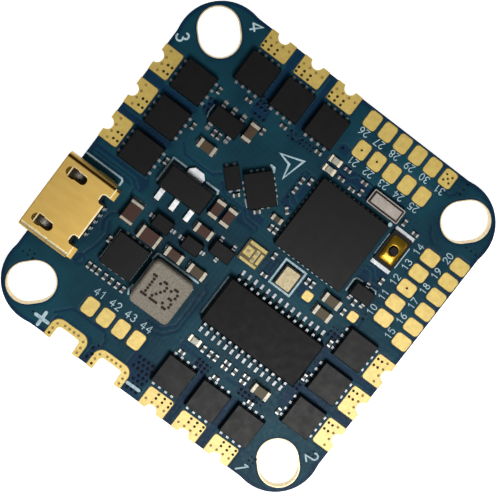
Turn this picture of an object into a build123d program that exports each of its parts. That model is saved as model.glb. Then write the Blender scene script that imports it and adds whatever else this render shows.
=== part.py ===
from build123d import *

import os
from math import cos, radians, sin, sqrt

os.makedirs("parts", exist_ok=True)

# A small flight controller with four built-in motor drivers, in millimetres.
# Origin: centre of the four mounting slots, on the underside of the board.
# +Z is the side with the USB socket; +X and +Y run along the board's sides.

# ---- driving dimensions: the board -------------------------------------------------
thickness = 1.0  # finished board, with both solder masks
skin = 0.035  # copper or solder mask on each face
half_side = 15.85  # centre to a straight side
ear_radius = 3.95  # rounded corner around each mounting slot
ear_centre = 12.0
ear_blend = 2.0
hole_spacing = 26.0  # nominal, between slot centres
slot_travel = 0.5 * sqrt(2)  # each slot takes patterns of 25.5 mm and of 26.5 mm
slot_radius = 1.72
slot_wall = 0.05
slot_land = 0.05
mask_gap = 0.06  # bare ring between a pad and the solder mask

top = thickness  # upper face
solder_film = 0.01  # under every soldered part
seat = top + solder_film  # most components stand here
under = -solder_film  # and the hidden ones hang from here
core_low = skin
core_high = thickness - skin

# ---- driving dimensions: edge pads --------------------------------------------------
edge_skin = 0.05  # plating on the board's edge
motor_pad = (2.5, 1.75)  # along the edge, depth
motor_pad_corner = 0.25
motor_pad_steps = (1.5, 4.95, 8.4)  # along the edge, from the board's centre line
motor_notch_radius = 0.57
motor_notch_centre = half_side + 0.08  # a little outside the board's edge
via_radius = 0.145
outer_vias = (-0.95, -0.32, 0.32, 0.95)
outer_via_depth = 0.65
inner_via_depths = (1.13, 1.53)
battery_pad_width = 3.52
battery_pad_depth = 1.88
battery_pad_corner = 0.85
battery_notch = (2.25, 1.25)
battery_notch_corner = 0.35
battery_band = 0.6

# name: (outward direction, direction along the edge, inner via offsets)
motor_sides = {
    "motor_1": ((0, -1), (1, 0), (-0.23, 0.4, 1.05)),
    "motor_2": ((1, 0), (0, -1), (-0.8, -0.18)),
    "motor_3": ((-1, 0), (0, 1), (-0.73, -0.1)),
    "motor_4": ((0, 1), (-1, 0), (-0.1, 0.52, 1.1)),
}
battery_sides = {"battery_positive": -7.86, "battery_negative": -3.46}

# ---- driving dimensions: solder pads on the face ------------------------------------
signal_pitch = 1.6
signal_pad = (1.2, 1.5)
signal_corner = 0.3
signal_rows = ((1.55, 14.92, 6), (2.32, 12.43, 5))  # first x, y, number along X
signal_columns = ((12.52, 2.35, 5), (15.0, 1.65, 6))  # x, first y, number along Y
led_row = (-7.85, -11.72, 4)
test_pad = 0.82
test_pads = ((6.22, -0.05), (10.35, 0.86))

# ---- driving dimensions: components -------------------------------------------------
standoff = 0.05  # lead metal under a body that has no standing leads
edge_break = 0.05
fet_offset = 12.17  # board centre to the middle of a transistor row
fet_steps = (1.25, 4.85, 8.45)
fet_side = 2.95
fet_height = 0.85
fet_pitch = 0.65
fet_tip = (0.22, 0.25, 0.12)  # what shows of each lead: length, width, height
draft = 7.0  # slope of moulded side walls, in degrees

usb_centre = -5.65
usb_front = -16.78
usb_rear = -12.02
usb_width = 7.3
usb_height = 2.5
usb_sheet = 0.25
usb_contact_pitch = 0.65

button_centre = (9.53, 7.38)
button_size = (1.9, 3.05)
button_base_height = 0.36
button_cover_size = (1.55, 2.43)
button_cover_height = 0.1
plunger_centre = (9.6, 7.37)
button_plunger_radius = 0.37
button_plunger_height = 0.62
button_clearance = 0.03


# ---- shared shapes ------------------------------------------------------------------
def along_side(side, along, outward):
    """Point given by its distances along a side and out from the board's centre."""
    out, run, _ = motor_sides[side]
    return (run[0] * along + out[0] * outward, run[1] * along + out[1] * outward)


def side_turn(side):
    """Angle that lays a shape's X axis along a side of the board."""
    return 90 if motor_sides[side][1][0] == 0 else 0


def plate(places, length, width, low, high, corner=0.0, turn=0.0, mode=Mode.ADD, taper=0.0):
    """Flat rectangles between two heights, one at each place."""
    with BuildSketch(Plane.XY.offset(low)) as outline:
        with Locations(*places):
            if corner:
                RectangleRounded(length, width, corner, rotation=turn)
            else:
                Rectangle(length, width, rotation=turn)
    extrude(outline.sketch, amount=high - low, mode=mode, taper=taper)


def blocks(places, length, width, low, high, mode=Mode.ADD):
    """Blocks at (x, y, angle) places, each with its length along its own angle."""
    height = high - low
    spots = [Location((x, y, low), (0, 0, angle)) for x, y, angle in places]
    centred = (Align.CENTER, Align.CENTER, Align.MIN)
    with Locations(*spots):
        Box(length, width, height, align=centred, mode=mode)


def discs(places, radius, low, high, mode=Mode.ADD):
    """Upright cylinders between two heights."""
    with BuildSketch(Plane.XY.offset(low)) as outline:
        with Locations(*places):
            Circle(radius)
    extrude(outline.sketch, amount=high - low, mode=mode)


def row_of_leads(centre, turn, reach, pitch, count, sides):
    """(x, y, outward angle) of each lead at a given reach from a body's centre."""
    found = []
    for side in sides:
        angle = radians(turn + side)
        for n in range(count):
            shift = (n - (count - 1) / 2) * pitch
            x = centre[0] + reach * cos(angle) - shift * sin(angle)
            y = centre[1] + reach * sin(angle) + shift * cos(angle)
            found.append((x, y, turn + side))
    return found


def bent_leads(places, reach, width, shoulder, metal, face):
    """Gull-wing leads that leave a body at each place and stand on the board's face."""
    knee = 0.2 * reach
    heel = 0.48 * reach
    half = metal / 2
    planes = []
    for x, y, angle in places:
        outward = (cos(radians(angle)), sin(radians(angle)), 0)
        across = (outward[1], -outward[0], 0)
        planes.append(Plane(origin=(x, y, face), x_dir=outward, z_dir=across))
    with BuildSketch(*planes) as profile:
        with BuildLine():
            Polyline(
                (0, shoulder - half),
                (knee - half, shoulder - half),
                (heel - half, 0),
                (reach, 0),
                (reach, metal),
                (heel + half, metal),
                (knee + half, shoulder + half),
                (0, shoulder + half),
                close=True,
            )
        make_face()
    extrude(profile.sketch, amount=width / 2, both=True)


def end_caps(places, length, width, height, cap, face=seat, sign=1):
    """Metal ends of chip parts at (x, y, angle) places."""
    ends = []
    for x, y, angle in places:
        turn = radians(angle)
        for way in (-1, 1):
            shift = way * (length - cap) / 2
            ends.append((x + shift * cos(turn), y + shift * sin(turn), angle))
    low, high = sorted((face, face + sign * height))
    blocks(ends, cap, width, low, high)


def chip_middles(places, length, width, height, cap, face=seat, sign=1):
    """Bodies of chip parts between their metal ends."""
    inset = 0.04 * width
    low, high = sorted((face + sign * inset, face + sign * (height - inset)))
    blocks(places, length - 2 * cap, width - 2 * inset, low, high)


def write(piece, name):
    """Label a finished piece and write it to its own file."""
    piece.part.label = name
    export_step(piece.part, f"parts/{name}.step")


# ---- the board: laminate, masks and slot plating ------------------------------------
slot_pattern = PolarLocations(hole_spacing / sqrt(2), 4, start_angle=45)
blend_height = sqrt(ear_radius**2 - (half_side - ear_centre) ** 2)


def is_blend_corner(vertex):
    """True where a corner ear rises out of a straight side."""
    low, high = sorted((abs(vertex.X), abs(vertex.Y)))
    return abs(high - half_side) < 0.01 and abs(low - ear_centre + blend_height) < 0.01


with BuildSketch() as board_outline:
    RectangleRounded(2 * half_side, 2 * half_side, ear_radius)
    with GridLocations(2 * ear_centre, 2 * ear_centre, 2, 2):
        Circle(ear_radius)
    fillet(board_outline.vertices().filter_by(is_blend_corner), radius=ear_blend)

motor_pad_centres = {
    side: [along_side(side, step, half_side - motor_pad[1] / 2) for step in motor_pad_steps]
    for side in motor_sides
}
notch_centres = [
    along_side(side, step, motor_notch_centre)
    for side in motor_sides
    for step in motor_pad_steps
]
battery_notch_centres = [
    (x, -half_side + battery_notch[1] / 2 - 1) for x in battery_sides.values()
]

with BuildPart() as circuit_board:
    extrude(
        board_outline.sketch.moved(Location((0, 0, core_low))),
        amount=core_high - core_low,
    )
    with BuildSketch() as board_cuts:
        with slot_pattern:
            SlotCenterToCenter(slot_travel, 2 * (slot_radius + slot_wall))
        with Locations(*notch_centres):
            Circle(motor_notch_radius + edge_skin)
        with Locations(*battery_notch_centres):
            RectangleRounded(
                battery_notch[0] + 2 * edge_skin,
                battery_notch[1] + 2 + 2 * edge_skin,
                battery_notch_corner + edge_skin,
            )
    extrude(amount=thickness, mode=Mode.SUBTRACT)
write(circuit_board, "circuit_board")

signal_places = []
for first_x, row_y, count in signal_rows:
    signal_places += [(first_x + n * signal_pitch, row_y, 90) for n in range(count)]
for column_x, first_y, count in signal_columns:
    signal_places += [(column_x, first_y + n * signal_pitch, 0) for n in range(count)]
led_places = [(led_row[0] + n * signal_pitch, led_row[1], 90) for n in range(led_row[2])]


def cut_edge_openings(low, high):
    """Openings in a solder mask for the edge pads and the mounting slots."""
    grown = 2 * mask_gap
    for side, centres in motor_pad_centres.items():
        size = (motor_pad[0] + grown, motor_pad[1] + grown)
        plate(centres, *size, low, high, turn=side_turn(side), mode=Mode.SUBTRACT)
    battery_centres = [
        (x, -half_side + battery_pad_depth / 2 - 0.5) for x in battery_sides.values()
    ]
    plate(
        battery_centres,
        battery_pad_width + grown,
        battery_pad_depth + 1 + grown,
        low,
        high,
        corner=battery_pad_corner,
        mode=Mode.SUBTRACT,
    )
    with BuildSketch(Plane.XY.offset(low)) as slots:
        with slot_pattern:
            SlotCenterToCenter(slot_travel, 2 * (slot_radius + slot_wall + slot_land))
    extrude(slots.sketch, amount=high - low, mode=Mode.SUBTRACT)


with BuildPart() as solder_mask_top:
    extrude(board_outline.sketch.moved(Location((0, 0, core_high))), amount=skin)
    cut_edge_openings(core_high, top)
    opened = (signal_pad[1] + 2 * mask_gap, signal_pad[0] + 2 * mask_gap)
    for x, y, angle in signal_places + led_places:
        plate([(x, y)], *opened, core_high, top, signal_corner, angle, Mode.SUBTRACT)
    test_opening = test_pad + 2 * mask_gap
    plate(
        test_pads,
        test_opening,
        test_opening,
        core_high,
        top,
        corner=0.2,
        mode=Mode.SUBTRACT,
    )
write(solder_mask_top, "solder_mask_top")

with BuildPart() as solder_mask_bottom:
    extrude(board_outline.sketch, amount=skin)
    cut_edge_openings(0, core_low)
write(solder_mask_bottom, "solder_mask_bottom")

with BuildPart() as mounting_slot_plating:
    with BuildSketch():
        with slot_pattern:
            SlotCenterToCenter(slot_travel, 2 * (slot_radius + slot_wall))
    extrude(amount=thickness)
    with BuildSketch(Plane.XY, Plane.XY.offset(core_high)):
        with slot_pattern:
            SlotCenterToCenter(slot_travel, 2 * (slot_radius + slot_wall + slot_land))
    extrude(amount=skin)
    with BuildSketch():
        with slot_pattern:
            SlotCenterToCenter(slot_travel, 2 * slot_radius)
    extrude(amount=thickness, mode=Mode.SUBTRACT)
write(mounting_slot_plating, "mounting_slot_plating")


# ---- motor pads: three half-hole pads for each motor --------------------------------
def wrapped_pads(side):
    """Pads that wrap from the top face over the edge to the underside."""
    centres = motor_pad_centres[side]
    outward = motor_sides[side][0]
    turn = side_turn(side)
    length, depth = motor_pad
    lip = [
        (x + outward[0] * (depth / 4 + edge_skin / 2), y + outward[1] * (depth / 4 + edge_skin / 2))
        for x, y in centres
    ]
    core = [(x - outward[0], y - outward[1]) for x, y in centres]
    notches = [along_side(side, step, motor_notch_centre) for step in motor_pad_steps]
    plate(centres, length, depth, 0, top, motor_pad_corner, turn)
    plate(lip, length, depth / 2 + edge_skin, 0, top, turn=turn)
    with BuildSketch(Plane.XY.offset(core_low)) as laminate:
        with Locations(*core):
            Rectangle(length + 1, depth + 2, rotation=turn)
        with Locations(*notches):
            Circle(motor_notch_radius + edge_skin, mode=Mode.SUBTRACT)
    extrude(laminate.sketch, amount=core_high - core_low, mode=Mode.SUBTRACT)
    discs(notches, motor_notch_radius, 0, top, Mode.SUBTRACT)
    vias = []
    for step in motor_pad_steps:
        vias += [
            along_side(side, step + shift, half_side - outer_via_depth)
            for shift in outer_vias
        ]
        for inset in inner_via_depths:
            vias += [
                along_side(side, step + shift, half_side - inset)
                for shift in motor_sides[side][2]
            ]
    discs(vias, via_radius, 0, top, Mode.SUBTRACT)


with BuildPart() as motor_1_pads:
    wrapped_pads("motor_1")
write(motor_1_pads, "motor_1_pads")

with BuildPart() as motor_2_pads:
    wrapped_pads("motor_2")
write(motor_2_pads, "motor_2_pads")

with BuildPart() as motor_3_pads:
    wrapped_pads("motor_3")
write(motor_3_pads, "motor_3_pads")

with BuildPart() as motor_4_pads:
    wrapped_pads("motor_4")
write(motor_4_pads, "motor_4_pads")


# ---- battery pads: a plated band around each notch ----------------------------------
def notch_band(middle):
    """Plated band, open to the board's edge, for one battery lead."""
    far = -half_side - edge_skin
    near = -half_side + battery_pad_depth
    with BuildSketch() as outer:
        with Locations((middle, far)):
            Rectangle(
                battery_pad_width,
                near - far,
                align=(Align.CENTER, Align.MIN),
            )
        fillet(outer.vertices().group_by(Axis.Y)[-1], radius=battery_pad_corner)
    extrude(outer.sketch, amount=thickness)
    grown = 2 * edge_skin
    notch_length = battery_notch[1] + 2
    centre = (middle, -half_side + battery_notch[1] / 2 - 1)
    with BuildSketch(Plane.XY.offset(core_low)) as laminate:
        with Locations((middle, -half_side)):
            Rectangle(battery_pad_width + 1, 3, align=(Align.CENTER, Align.MIN))
        with Locations(centre):
            RectangleRounded(
                battery_notch[0] + grown,
                notch_length + grown,
                battery_notch_corner + edge_skin,
                mode=Mode.SUBTRACT,
            )
    extrude(laminate.sketch, amount=core_high - core_low, mode=Mode.SUBTRACT)
    plate(
        [centre],
        battery_notch[0],
        notch_length,
        0,
        top,
        battery_notch_corner,
        mode=Mode.SUBTRACT,
    )
    side = (battery_notch[0] + battery_band) / 2 + 0.02
    rise = -half_side + battery_notch[1] + battery_band / 2
    vias = [(middle + way * side, -half_side + 0.3 + n * 0.5) for way in (-1, 1) for n in (0, 1)]
    vias += [(middle + way * (side - 0.12), rise - 0.2) for way in (-1, 1)]
    vias += [(middle + shift, rise) for shift in (-0.69, -0.23, 0.23, 0.69)]
    discs(vias, via_radius, 0, top, Mode.SUBTRACT)


with BuildPart() as battery_positive_pad:
    notch_band(battery_sides["battery_positive"])
write(battery_positive_pad, "battery_positive_pad")

with BuildPart() as battery_negative_pad:
    notch_band(battery_sides["battery_negative"])
write(battery_negative_pad, "battery_negative_pad")

# ---- solder pads on the upper face --------------------------------------------------
with BuildPart() as signal_pads:
    for x, y, angle in signal_places:
        plate([(x, y)], signal_pad[1], signal_pad[0], core_high, top, signal_corner, angle)
write(signal_pads, "signal_pads")

with BuildPart() as led_strip_pads:
    for x, y, angle in led_places:
        plate([(x, y)], signal_pad[1], signal_pad[0], core_high, top, signal_corner, angle)
write(led_strip_pads, "led_strip_pads")

with BuildPart() as test_point_pads:
    plate(test_pads, test_pad, test_pad, core_high, top, corner=0.2)
write(test_point_pads, "test_point_pads")

# ---- micro USB socket ---------------------------------------------------------------
usb_length = usb_rear - usb_front
usb_low = seat
usb_tongue_top = usb_low + 1.45
usb_tongue = (3.7, 0.6)  # width, thickness
usb_block_front = usb_rear - 1.5
usb_block_rear = usb_rear - 0.35
usb_lip_rear = usb_rear + 0.12
contact_width = 0.25
contact_metal = 0.15
contact_top = usb_tongue_top - usb_tongue[1]
contact_tip = usb_lip_rear + 0.28
usb_wing = (1.0, 0.2)  # width across the shell, how far it reaches past the rear edge
usb_notch = (0.85, 0.6)

contact_places = [usb_centre + (n - 2) * usb_contact_pitch for n in range(5)]


def usb_profile(inset):
    """Outline of the socket across its mouth, moved in by a given amount."""
    half = usb_width / 2 - inset
    low = usb_low + inset
    high = usb_low + usb_height - inset
    slant = 0.95
    with BuildSketch(Plane.YZ.offset(usb_front)) as outline:
        with BuildLine():
            Polyline(
                (usb_centre - half, high),
                (usb_centre + half, high),
                (usb_centre + half, low + slant),
                (usb_centre + half - slant + inset / 2, low),
                (usb_centre - half + slant - inset / 2, low),
                (usb_centre - half, low + slant),
                close=True,
            )
        make_face()
        fillet(outline.vertices(), radius=0.45 - inset)
    return outline.sketch


with BuildPart() as usb_shell:
    extrude(usb_profile(0), amount=usb_length)
    extrude(usb_profile(usb_sheet), amount=usb_length, mode=Mode.SUBTRACT)
    # Two latch windows in the roof, each wider at the front end.
    roof = usb_low + usb_height
    for way in (-1, 1):
        middle = usb_centre + way * 2.35
        plate(
            [(usb_front + 1.55, middle)],
            1.95,
            0.78,
            roof - usb_sheet,
            roof,
            corner=0.35,
            mode=Mode.SUBTRACT,
        )
        plate(
            [(usb_front + 1.2, middle)],
            0.95,
            0.96,
            roof - usb_sheet,
            roof,
            corner=0.35,
            mode=Mode.SUBTRACT,
        )
        # The spring finger's root crosses the front end of the window.
        blocks(
            [(usb_front + 0.92, middle, 0)],
            0.12,
            0.96,
            roof - usb_sheet,
            roof - 0.08,
        )
        # Notch in the rear edge of the roof.
        plate(
            [(usb_rear, usb_centre + way * 2.05)],
            2 * usb_notch[1],
            usb_notch[0],
            roof - usb_sheet,
            roof,
            corner=0.25,
            mode=Mode.SUBTRACT,
        )
        # Rear wing beside the notch, with an ear that is bent down behind it.
        wing = usb_centre + way * (usb_width / 2 - 0.2 - usb_wing[0] / 2)
        blocks(
            [(usb_rear + usb_wing[1] / 2, wing, 0)],
            usb_wing[1],
            usb_wing[0],
            roof - usb_sheet,
            roof,
        )
        blocks(
            [(usb_rear + usb_wing[1] + usb_sheet / 2, wing, 0)],
            usb_sheet,
            usb_wing[0],
            roof - 1.3,
            roof - 0.1,
        )
        # Soldered foot under each side, on the board.
        blocks(
            [(usb_rear - 1.2, usb_centre + way * (usb_width / 2 - usb_sheet / 2), 0)],
            1.6,
            usb_sheet,
            usb_low,
            usb_low + 1.3,
        )
    # The floor stops short at the rear, where the contacts come down to the board.
    blocks(
        [(usb_rear - 0.25, usb_centre, 0)],
        0.6,
        5.2,
        usb_low,
        usb_low + 0.6,
        Mode.SUBTRACT,
    )
    fillet(
        usb_shell.edges().filter_by(Axis.Y).group_by(Axis.Z)[-1].group_by(Axis.X)[0],
        radius=0.08,
    )
write(usb_shell, "usb_shell")

with BuildPart() as usb_contacts:
    for y in contact_places:
        with BuildSketch(Plane.XZ.offset(-y)):
            with BuildLine():
                Polyline(
                    (usb_front + 0.9, contact_top - contact_metal),
                    (usb_lip_rear + 0.03, contact_top - contact_metal),
                    (usb_lip_rear + 0.08, usb_low),
                    (contact_tip, usb_low),
                    (contact_tip, usb_low + contact_metal),
                    (usb_lip_rear + 0.22, usb_low + contact_metal),
                    (usb_lip_rear + 0.17, contact_top),
                    (usb_front + 0.9, contact_top),
                    close=True,
                )
            make_face()
    extrude(amount=contact_width / 2, both=True)
write(usb_contacts, "usb_contacts")

with BuildPart() as usb_insulator:
    inner_width = usb_width - 2 * usb_sheet - 0.1
    block_low = usb_low + usb_sheet + 0.02
    block_high = usb_low + usb_height - usb_sheet - 0.02
    with BuildSketch(Plane.YZ.offset(usb_block_front)):
        with Locations((usb_centre, (usb_low + 1.25 + block_high) / 2)):
            Rectangle(inner_width, block_high - usb_low - 1.25)
        with Locations((usb_centre, (block_low + usb_low + 1.3) / 2)):
            Rectangle(inner_width - 2.1, usb_low + 1.3 - block_low)
    extrude(amount=usb_block_rear - usb_block_front)
    blocks(
        [((usb_front + 0.75 + usb_block_front) / 2, usb_centre, 0)],
        usb_block_front - usb_front - 0.75,
        usb_tongue[0],
        contact_top,
        usb_tongue_top,
    )
    # Lip that reaches back over the contacts, between the shell's wings.
    blocks(
        [((usb_block_rear + usb_lip_rear) / 2, usb_centre, 0)],
        usb_lip_rear - usb_block_rear,
        5 * usb_contact_pitch + 0.2,
        usb_low + 0.62,
        usb_low + 1.3,
    )
    channels = [((usb_block_front + usb_lip_rear) / 2, y, 0) for y in contact_places]
    blocks(
        channels,
        usb_lip_rear - usb_block_front + 0.1,
        contact_width,
        contact_top - contact_metal,
        contact_top,
        Mode.SUBTRACT,
    )
write(usb_insulator, "usb_insulator")

# ---- boot button: base, snap dome, cover film and plunger ---------------------------
button_cavity_radius = 0.78
button_floor = seat + 0.06
button_rim = seat + button_base_height
flange_radius = 0.55
flange_metal = 0.05
plunger_low = button_rim - flange_metal - button_clearance
dome_top = plunger_low - 0.02
dome_metal = 0.03
dome_radius = 0.75
dome_crown = 0.3

with BuildPart() as button_base:
    plate([button_centre], *button_size, seat, button_rim, corner=0.15)
    discs([plunger_centre], button_cavity_radius, button_floor, button_rim, Mode.SUBTRACT)
write(button_base, "button_base")

with BuildPart() as button_terminals:
    terminal_reach = button_size[1] / 2 + 0.17
    ends = [
        (button_centre[0], button_centre[1] + way * terminal_reach) for way in (-1, 1)
    ]
    plate(ends, button_size[0], 0.34, seat, seat + 0.12)
write(button_terminals, "button_terminals")

with BuildPart() as button_dome:
    standing = (Align.CENTER, Align.CENTER, Align.MIN)
    rise = dome_top - button_floor
    with Locations((*plunger_centre, button_floor)):
        Cone(dome_radius, dome_crown, rise, align=standing)
        Cone(
            dome_radius - dome_metal,
            dome_crown - dome_metal,
            rise - dome_metal,
            align=standing,
            mode=Mode.SUBTRACT,
        )
write(button_dome, "button_dome")

with BuildPart() as button_cover:
    cover_high = button_rim + button_cover_height
    plate([button_centre], *button_cover_size, button_rim, cover_high, corner=0.12)
    opening = button_plunger_radius + button_clearance
    discs([plunger_centre], opening, button_rim, cover_high, Mode.SUBTRACT)
write(button_cover, "button_cover")

with BuildPart() as button_plunger:
    plunger_high = seat + button_plunger_height
    discs([plunger_centre], flange_radius, plunger_low, plunger_low + flange_metal)
    discs([plunger_centre], button_plunger_radius, plunger_low, plunger_high)
    chamfer(button_plunger.faces().sort_by(Axis.Z)[-1].edges(), 0.04)
write(button_plunger, "button_plunger")

# ---- motor drive transistors: three double packages beside each motor's pads --------
fet_places = {
    side: [(*along_side(side, step, fet_offset), side_turn(side)) for step in fet_steps]
    for side in motor_sides
}


def transistor_bodies(side):
    """Three square moulded bodies in a row."""
    spots = [(x, y) for x, y, _ in fet_places[side]]
    low, high = seat + standoff, seat + fet_height
    plate(spots, fet_side, fet_side, low, high, taper=draft)


with BuildPart() as motor_1_transistors:
    transistor_bodies("motor_1")
    chamfer(motor_1_transistors.faces().group_by(Axis.Z)[-1].edges(), edge_break)
write(motor_1_transistors, "motor_1_transistors")

with BuildPart() as motor_2_transistors:
    transistor_bodies("motor_2")
    chamfer(motor_2_transistors.faces().group_by(Axis.Z)[-1].edges(), edge_break)
write(motor_2_transistors, "motor_2_transistors")

with BuildPart() as motor_3_transistors:
    transistor_bodies("motor_3")
    chamfer(motor_3_transistors.faces().group_by(Axis.Z)[-1].edges(), edge_break)
write(motor_3_transistors, "motor_3_transistors")

with BuildPart() as motor_4_transistors:
    transistor_bodies("motor_4")
    chamfer(motor_4_transistors.faces().group_by(Axis.Z)[-1].edges(), edge_break)
write(motor_4_transistors, "motor_4_transistors")

with BuildPart() as transistor_leads:
    feet = []
    tips = []
    for places in fet_places.values():
        for x, y, turn in places:
            edge = fet_side / 2
            feet += row_of_leads((x, y), turn, edge - 0.12, fet_pitch, 4, (90, 270))
            tips += row_of_leads((x, y), turn, edge + fet_tip[0] / 2, fet_pitch, 4, (90, 270))
    blocks(feet, 0.3, fet_tip[1], seat, seat + standoff)
    blocks(tips, fet_tip[0], fet_tip[1], seat, seat + fet_tip[2])
write(transistor_leads, "transistor_leads")

# ---- processors and sensors ---------------------------------------------------------
processor_centre = (4.56, 5.3)
processor_side = 6.9
processor_height = 0.85

with BuildPart() as main_processor:
    plate([processor_centre], processor_side, processor_side, seat + standoff, seat + processor_height)
    chamfer(main_processor.faces().sort_by(Axis.Z)[-1].edges(), edge_break)
write(main_processor, "main_processor")

with BuildPart() as main_processor_leads:
    reach = processor_side / 2 - 0.13
    ends = row_of_leads(processor_centre, 0, reach, 0.5, 12, (0, 90, 180, 270))
    blocks(ends, 0.46, 0.2, seat, seat + standoff)
    plate([processor_centre], 5.2, 5.2, seat, seat + standoff)
write(main_processor_leads, "main_processor_leads")

overlay_centre = (4.92, -4.68)
overlay_body = (9.7, 4.4)
overlay_height = 1.1

with BuildPart() as overlay_chip:
    plate([overlay_centre], *overlay_body, seat + 0.1, seat + overlay_height)
    chamfer(overlay_chip.faces().sort_by(Axis.Z)[-1].edges(), 0.1)
write(overlay_chip, "overlay_chip")

with BuildPart() as overlay_chip_leads:
    starts = row_of_leads(overlay_centre, 0, overlay_body[1] / 2, 0.65, 14, (90, 270))
    bent_leads(starts, reach=1.0, width=0.22, shoulder=0.6, metal=0.14, face=seat)
write(overlay_chip_leads, "overlay_chip_leads")

motion_centre = (-2.47, 4.7)
motion_turn = -45
motion_body = (3.0, 2.5)
motion_spot = [(*motion_centre, motion_turn)]

with BuildPart() as motion_sensor:
    blocks(motion_spot, *motion_body, seat + standoff, seat + 0.9)
    chamfer(motion_sensor.faces().sort_by(Axis.Z)[-1].edges(), edge_break)
write(motion_sensor, "motion_sensor")

supply_centre = (-4.88, 4.1)
supply_spot = [(*supply_centre, motion_turn)]

with BuildPart() as sensor_regulator:
    blocks(supply_spot, 2.0, 1.3, seat + standoff, seat + 0.6)
    chamfer(sensor_regulator.faces().sort_by(Axis.Z)[-1].edges(), 0.04)
write(sensor_regulator, "sensor_regulator")

with BuildPart() as sensor_pads:
    long_side = row_of_leads(motion_centre, motion_turn, 1.16, 0.5, 4, (90, 270))
    short_side = row_of_leads(motion_centre, motion_turn, 1.41, 0.5, 3, (0, 180))
    supply_ends = row_of_leads(supply_centre, motion_turn, 0.95, 0.65, 2, (0, 180))
    blocks(long_side + short_side, 0.44, 0.22, seat, seat + standoff)
    blocks(supply_ends, 0.42, 0.3, seat, seat + standoff)
write(sensor_pads, "sensor_pads")

# ---- power supply: linear regulator, step-down converter and inductor ---------------
linear_centre = (-7.4, 1.08)
linear_body = (4.5, 2.42)

with BuildPart() as linear_regulator:
    plate([linear_centre], *linear_body, seat + 0.02, seat + 1.5, taper=draft)
    plate(
        [(linear_centre[0], linear_centre[1] + 0.3)],
        1.6,
        linear_body[1],
        seat + 0.02,
        seat + 0.4,
        mode=Mode.SUBTRACT,
    )
    chamfer(linear_regulator.faces().sort_by(Axis.Z)[-1].edges(), edge_break)
write(linear_regulator, "linear_regulator")

with BuildPart() as linear_regulator_leads:
    tab_low = linear_centre[1] - linear_body[1] / 2 + 0.3
    tab_high = linear_centre[1] + linear_body[1] / 2 + 0.65
    with BuildSketch(Plane.XY.offset(seat)) as tab:
        with Locations((linear_centre[0], tab_low)):
            Rectangle(1.58, tab_high - tab_low, align=(Align.CENTER, Align.MIN))
        chamfer(tab.vertices().group_by(Axis.Y)[-1], 0.35)
    extrude(amount=0.4)
    lead_y = linear_centre[1] - linear_body[1] / 2 - 0.5
    lead_places = [(linear_centre[0] + n * 1.5, lead_y) for n in (-1, 0, 1)]
    plate(lead_places, 0.45, 1.0, seat, seat + 0.4)
write(linear_regulator_leads, "linear_regulator_leads")

converter_centre = (-8.1, -6.5)

with BuildPart() as step_down_converter:
    plate([converter_centre], 3.1, 3.1, seat + standoff, seat + 0.9)
    chamfer(step_down_converter.faces().sort_by(Axis.Z)[-1].edges(), edge_break)
write(step_down_converter, "step_down_converter")

with BuildPart() as step_down_converter_leads:
    ends = row_of_leads(converter_centre, 0, 1.4, 0.65, 4, (90, 270))
    blocks(ends, 0.6, 0.3, seat, seat + standoff)
    plate([converter_centre], 2.2, 1.7, seat, seat + standoff)
write(step_down_converter_leads, "step_down_converter_leads")

inductor_centre = (-3.93, -6.95)
inductor_body = (3.9, 4.1)
inductor_height = 2.0

with BuildPart() as inductor_core:
    inductor_top = seat + inductor_height
    plate([inductor_centre], *inductor_body, seat + 0.1, inductor_top, corner=0.45)
    chamfer(inductor_core.faces().sort_by(Axis.Z)[-1].edges(), 0.14)
write(inductor_core, "inductor_core")

with BuildPart() as inductor_terminals:
    ends = [(inductor_centre[0] + way * 1.6, inductor_centre[1]) for way in (-1, 1)]
    plate(ends, 1.0, 3.2, seat, seat + 0.1)
write(inductor_terminals, "inductor_terminals")

# ---- timing parts and lights --------------------------------------------------------
crystal_centre = (3.93, 0.14)
resonator_centre = (6.74, 9.94)
status_lights = [(1.13, 10.4, 0), (1.15, 9.5, 0), (0.9, -8.75, 0)]
rgb_centre = (0.33, 0.03)

with BuildPart() as crystal_base:
    plate([crystal_centre], 1.6, 2.0, seat, seat + 0.4, corner=0.1)
write(crystal_base, "crystal_base")

with BuildPart() as crystal_lid:
    plate([crystal_centre], 1.42, 1.82, seat + 0.4, seat + 0.5, corner=0.15)
    chamfer(crystal_lid.faces().sort_by(Axis.Z)[-1].edges(), 0.03)
write(crystal_lid, "crystal_lid")

with BuildPart() as resonator_base:
    plate([resonator_centre], 3.2, 1.35, seat, seat + 0.6, corner=0.06)
write(resonator_base, "resonator_base")

with BuildPart() as resonator_lid:
    plate([resonator_centre], 2.75, 0.92, seat + 0.6, seat + 0.75, corner=0.08)
    chamfer(resonator_lid.faces().sort_by(Axis.Z)[-1].edges(), 0.04)
write(resonator_lid, "resonator_lid")

with BuildPart() as rgb_light_base:
    plate([rgb_centre], 1.9, 1.9, seat, seat + 0.25)
write(rgb_light_base, "rgb_light_base")

with BuildPart() as rgb_light_lens:
    plate([rgb_centre], 1.9, 1.9, seat + 0.25, seat + 0.65)
    chamfer(rgb_light_lens.faces().sort_by(Axis.Z)[-1].edges(), 0.04)
write(rgb_light_lens, "rgb_light_lens")

with BuildPart() as status_light_lenses:
    blocks(status_lights, 0.6, 0.55, seat + 0.02, seat + 0.4)
    chamfer(status_light_lenses.faces().group_by(Axis.Z)[-1].edges(), 0.03)
write(status_light_lenses, "status_light_lenses")

# ---- small moulded packages ---------------------------------------------------------
logic_regulator_centre = (-8.1, 7.45)
signal_transistors = ((9.68, 2.92, 0), (-1.85, -1.35, 180))
diodes = ((-7.22, -2.44, 0), (-4.18, -2.44, 0))

with BuildPart() as logic_regulator:
    plate([logic_regulator_centre], 2.8, 1.6, seat + 0.1, seat + 1.1)
    chamfer(logic_regulator.faces().sort_by(Axis.Z)[-1].edges(), 0.08)
write(logic_regulator, "logic_regulator")

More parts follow.
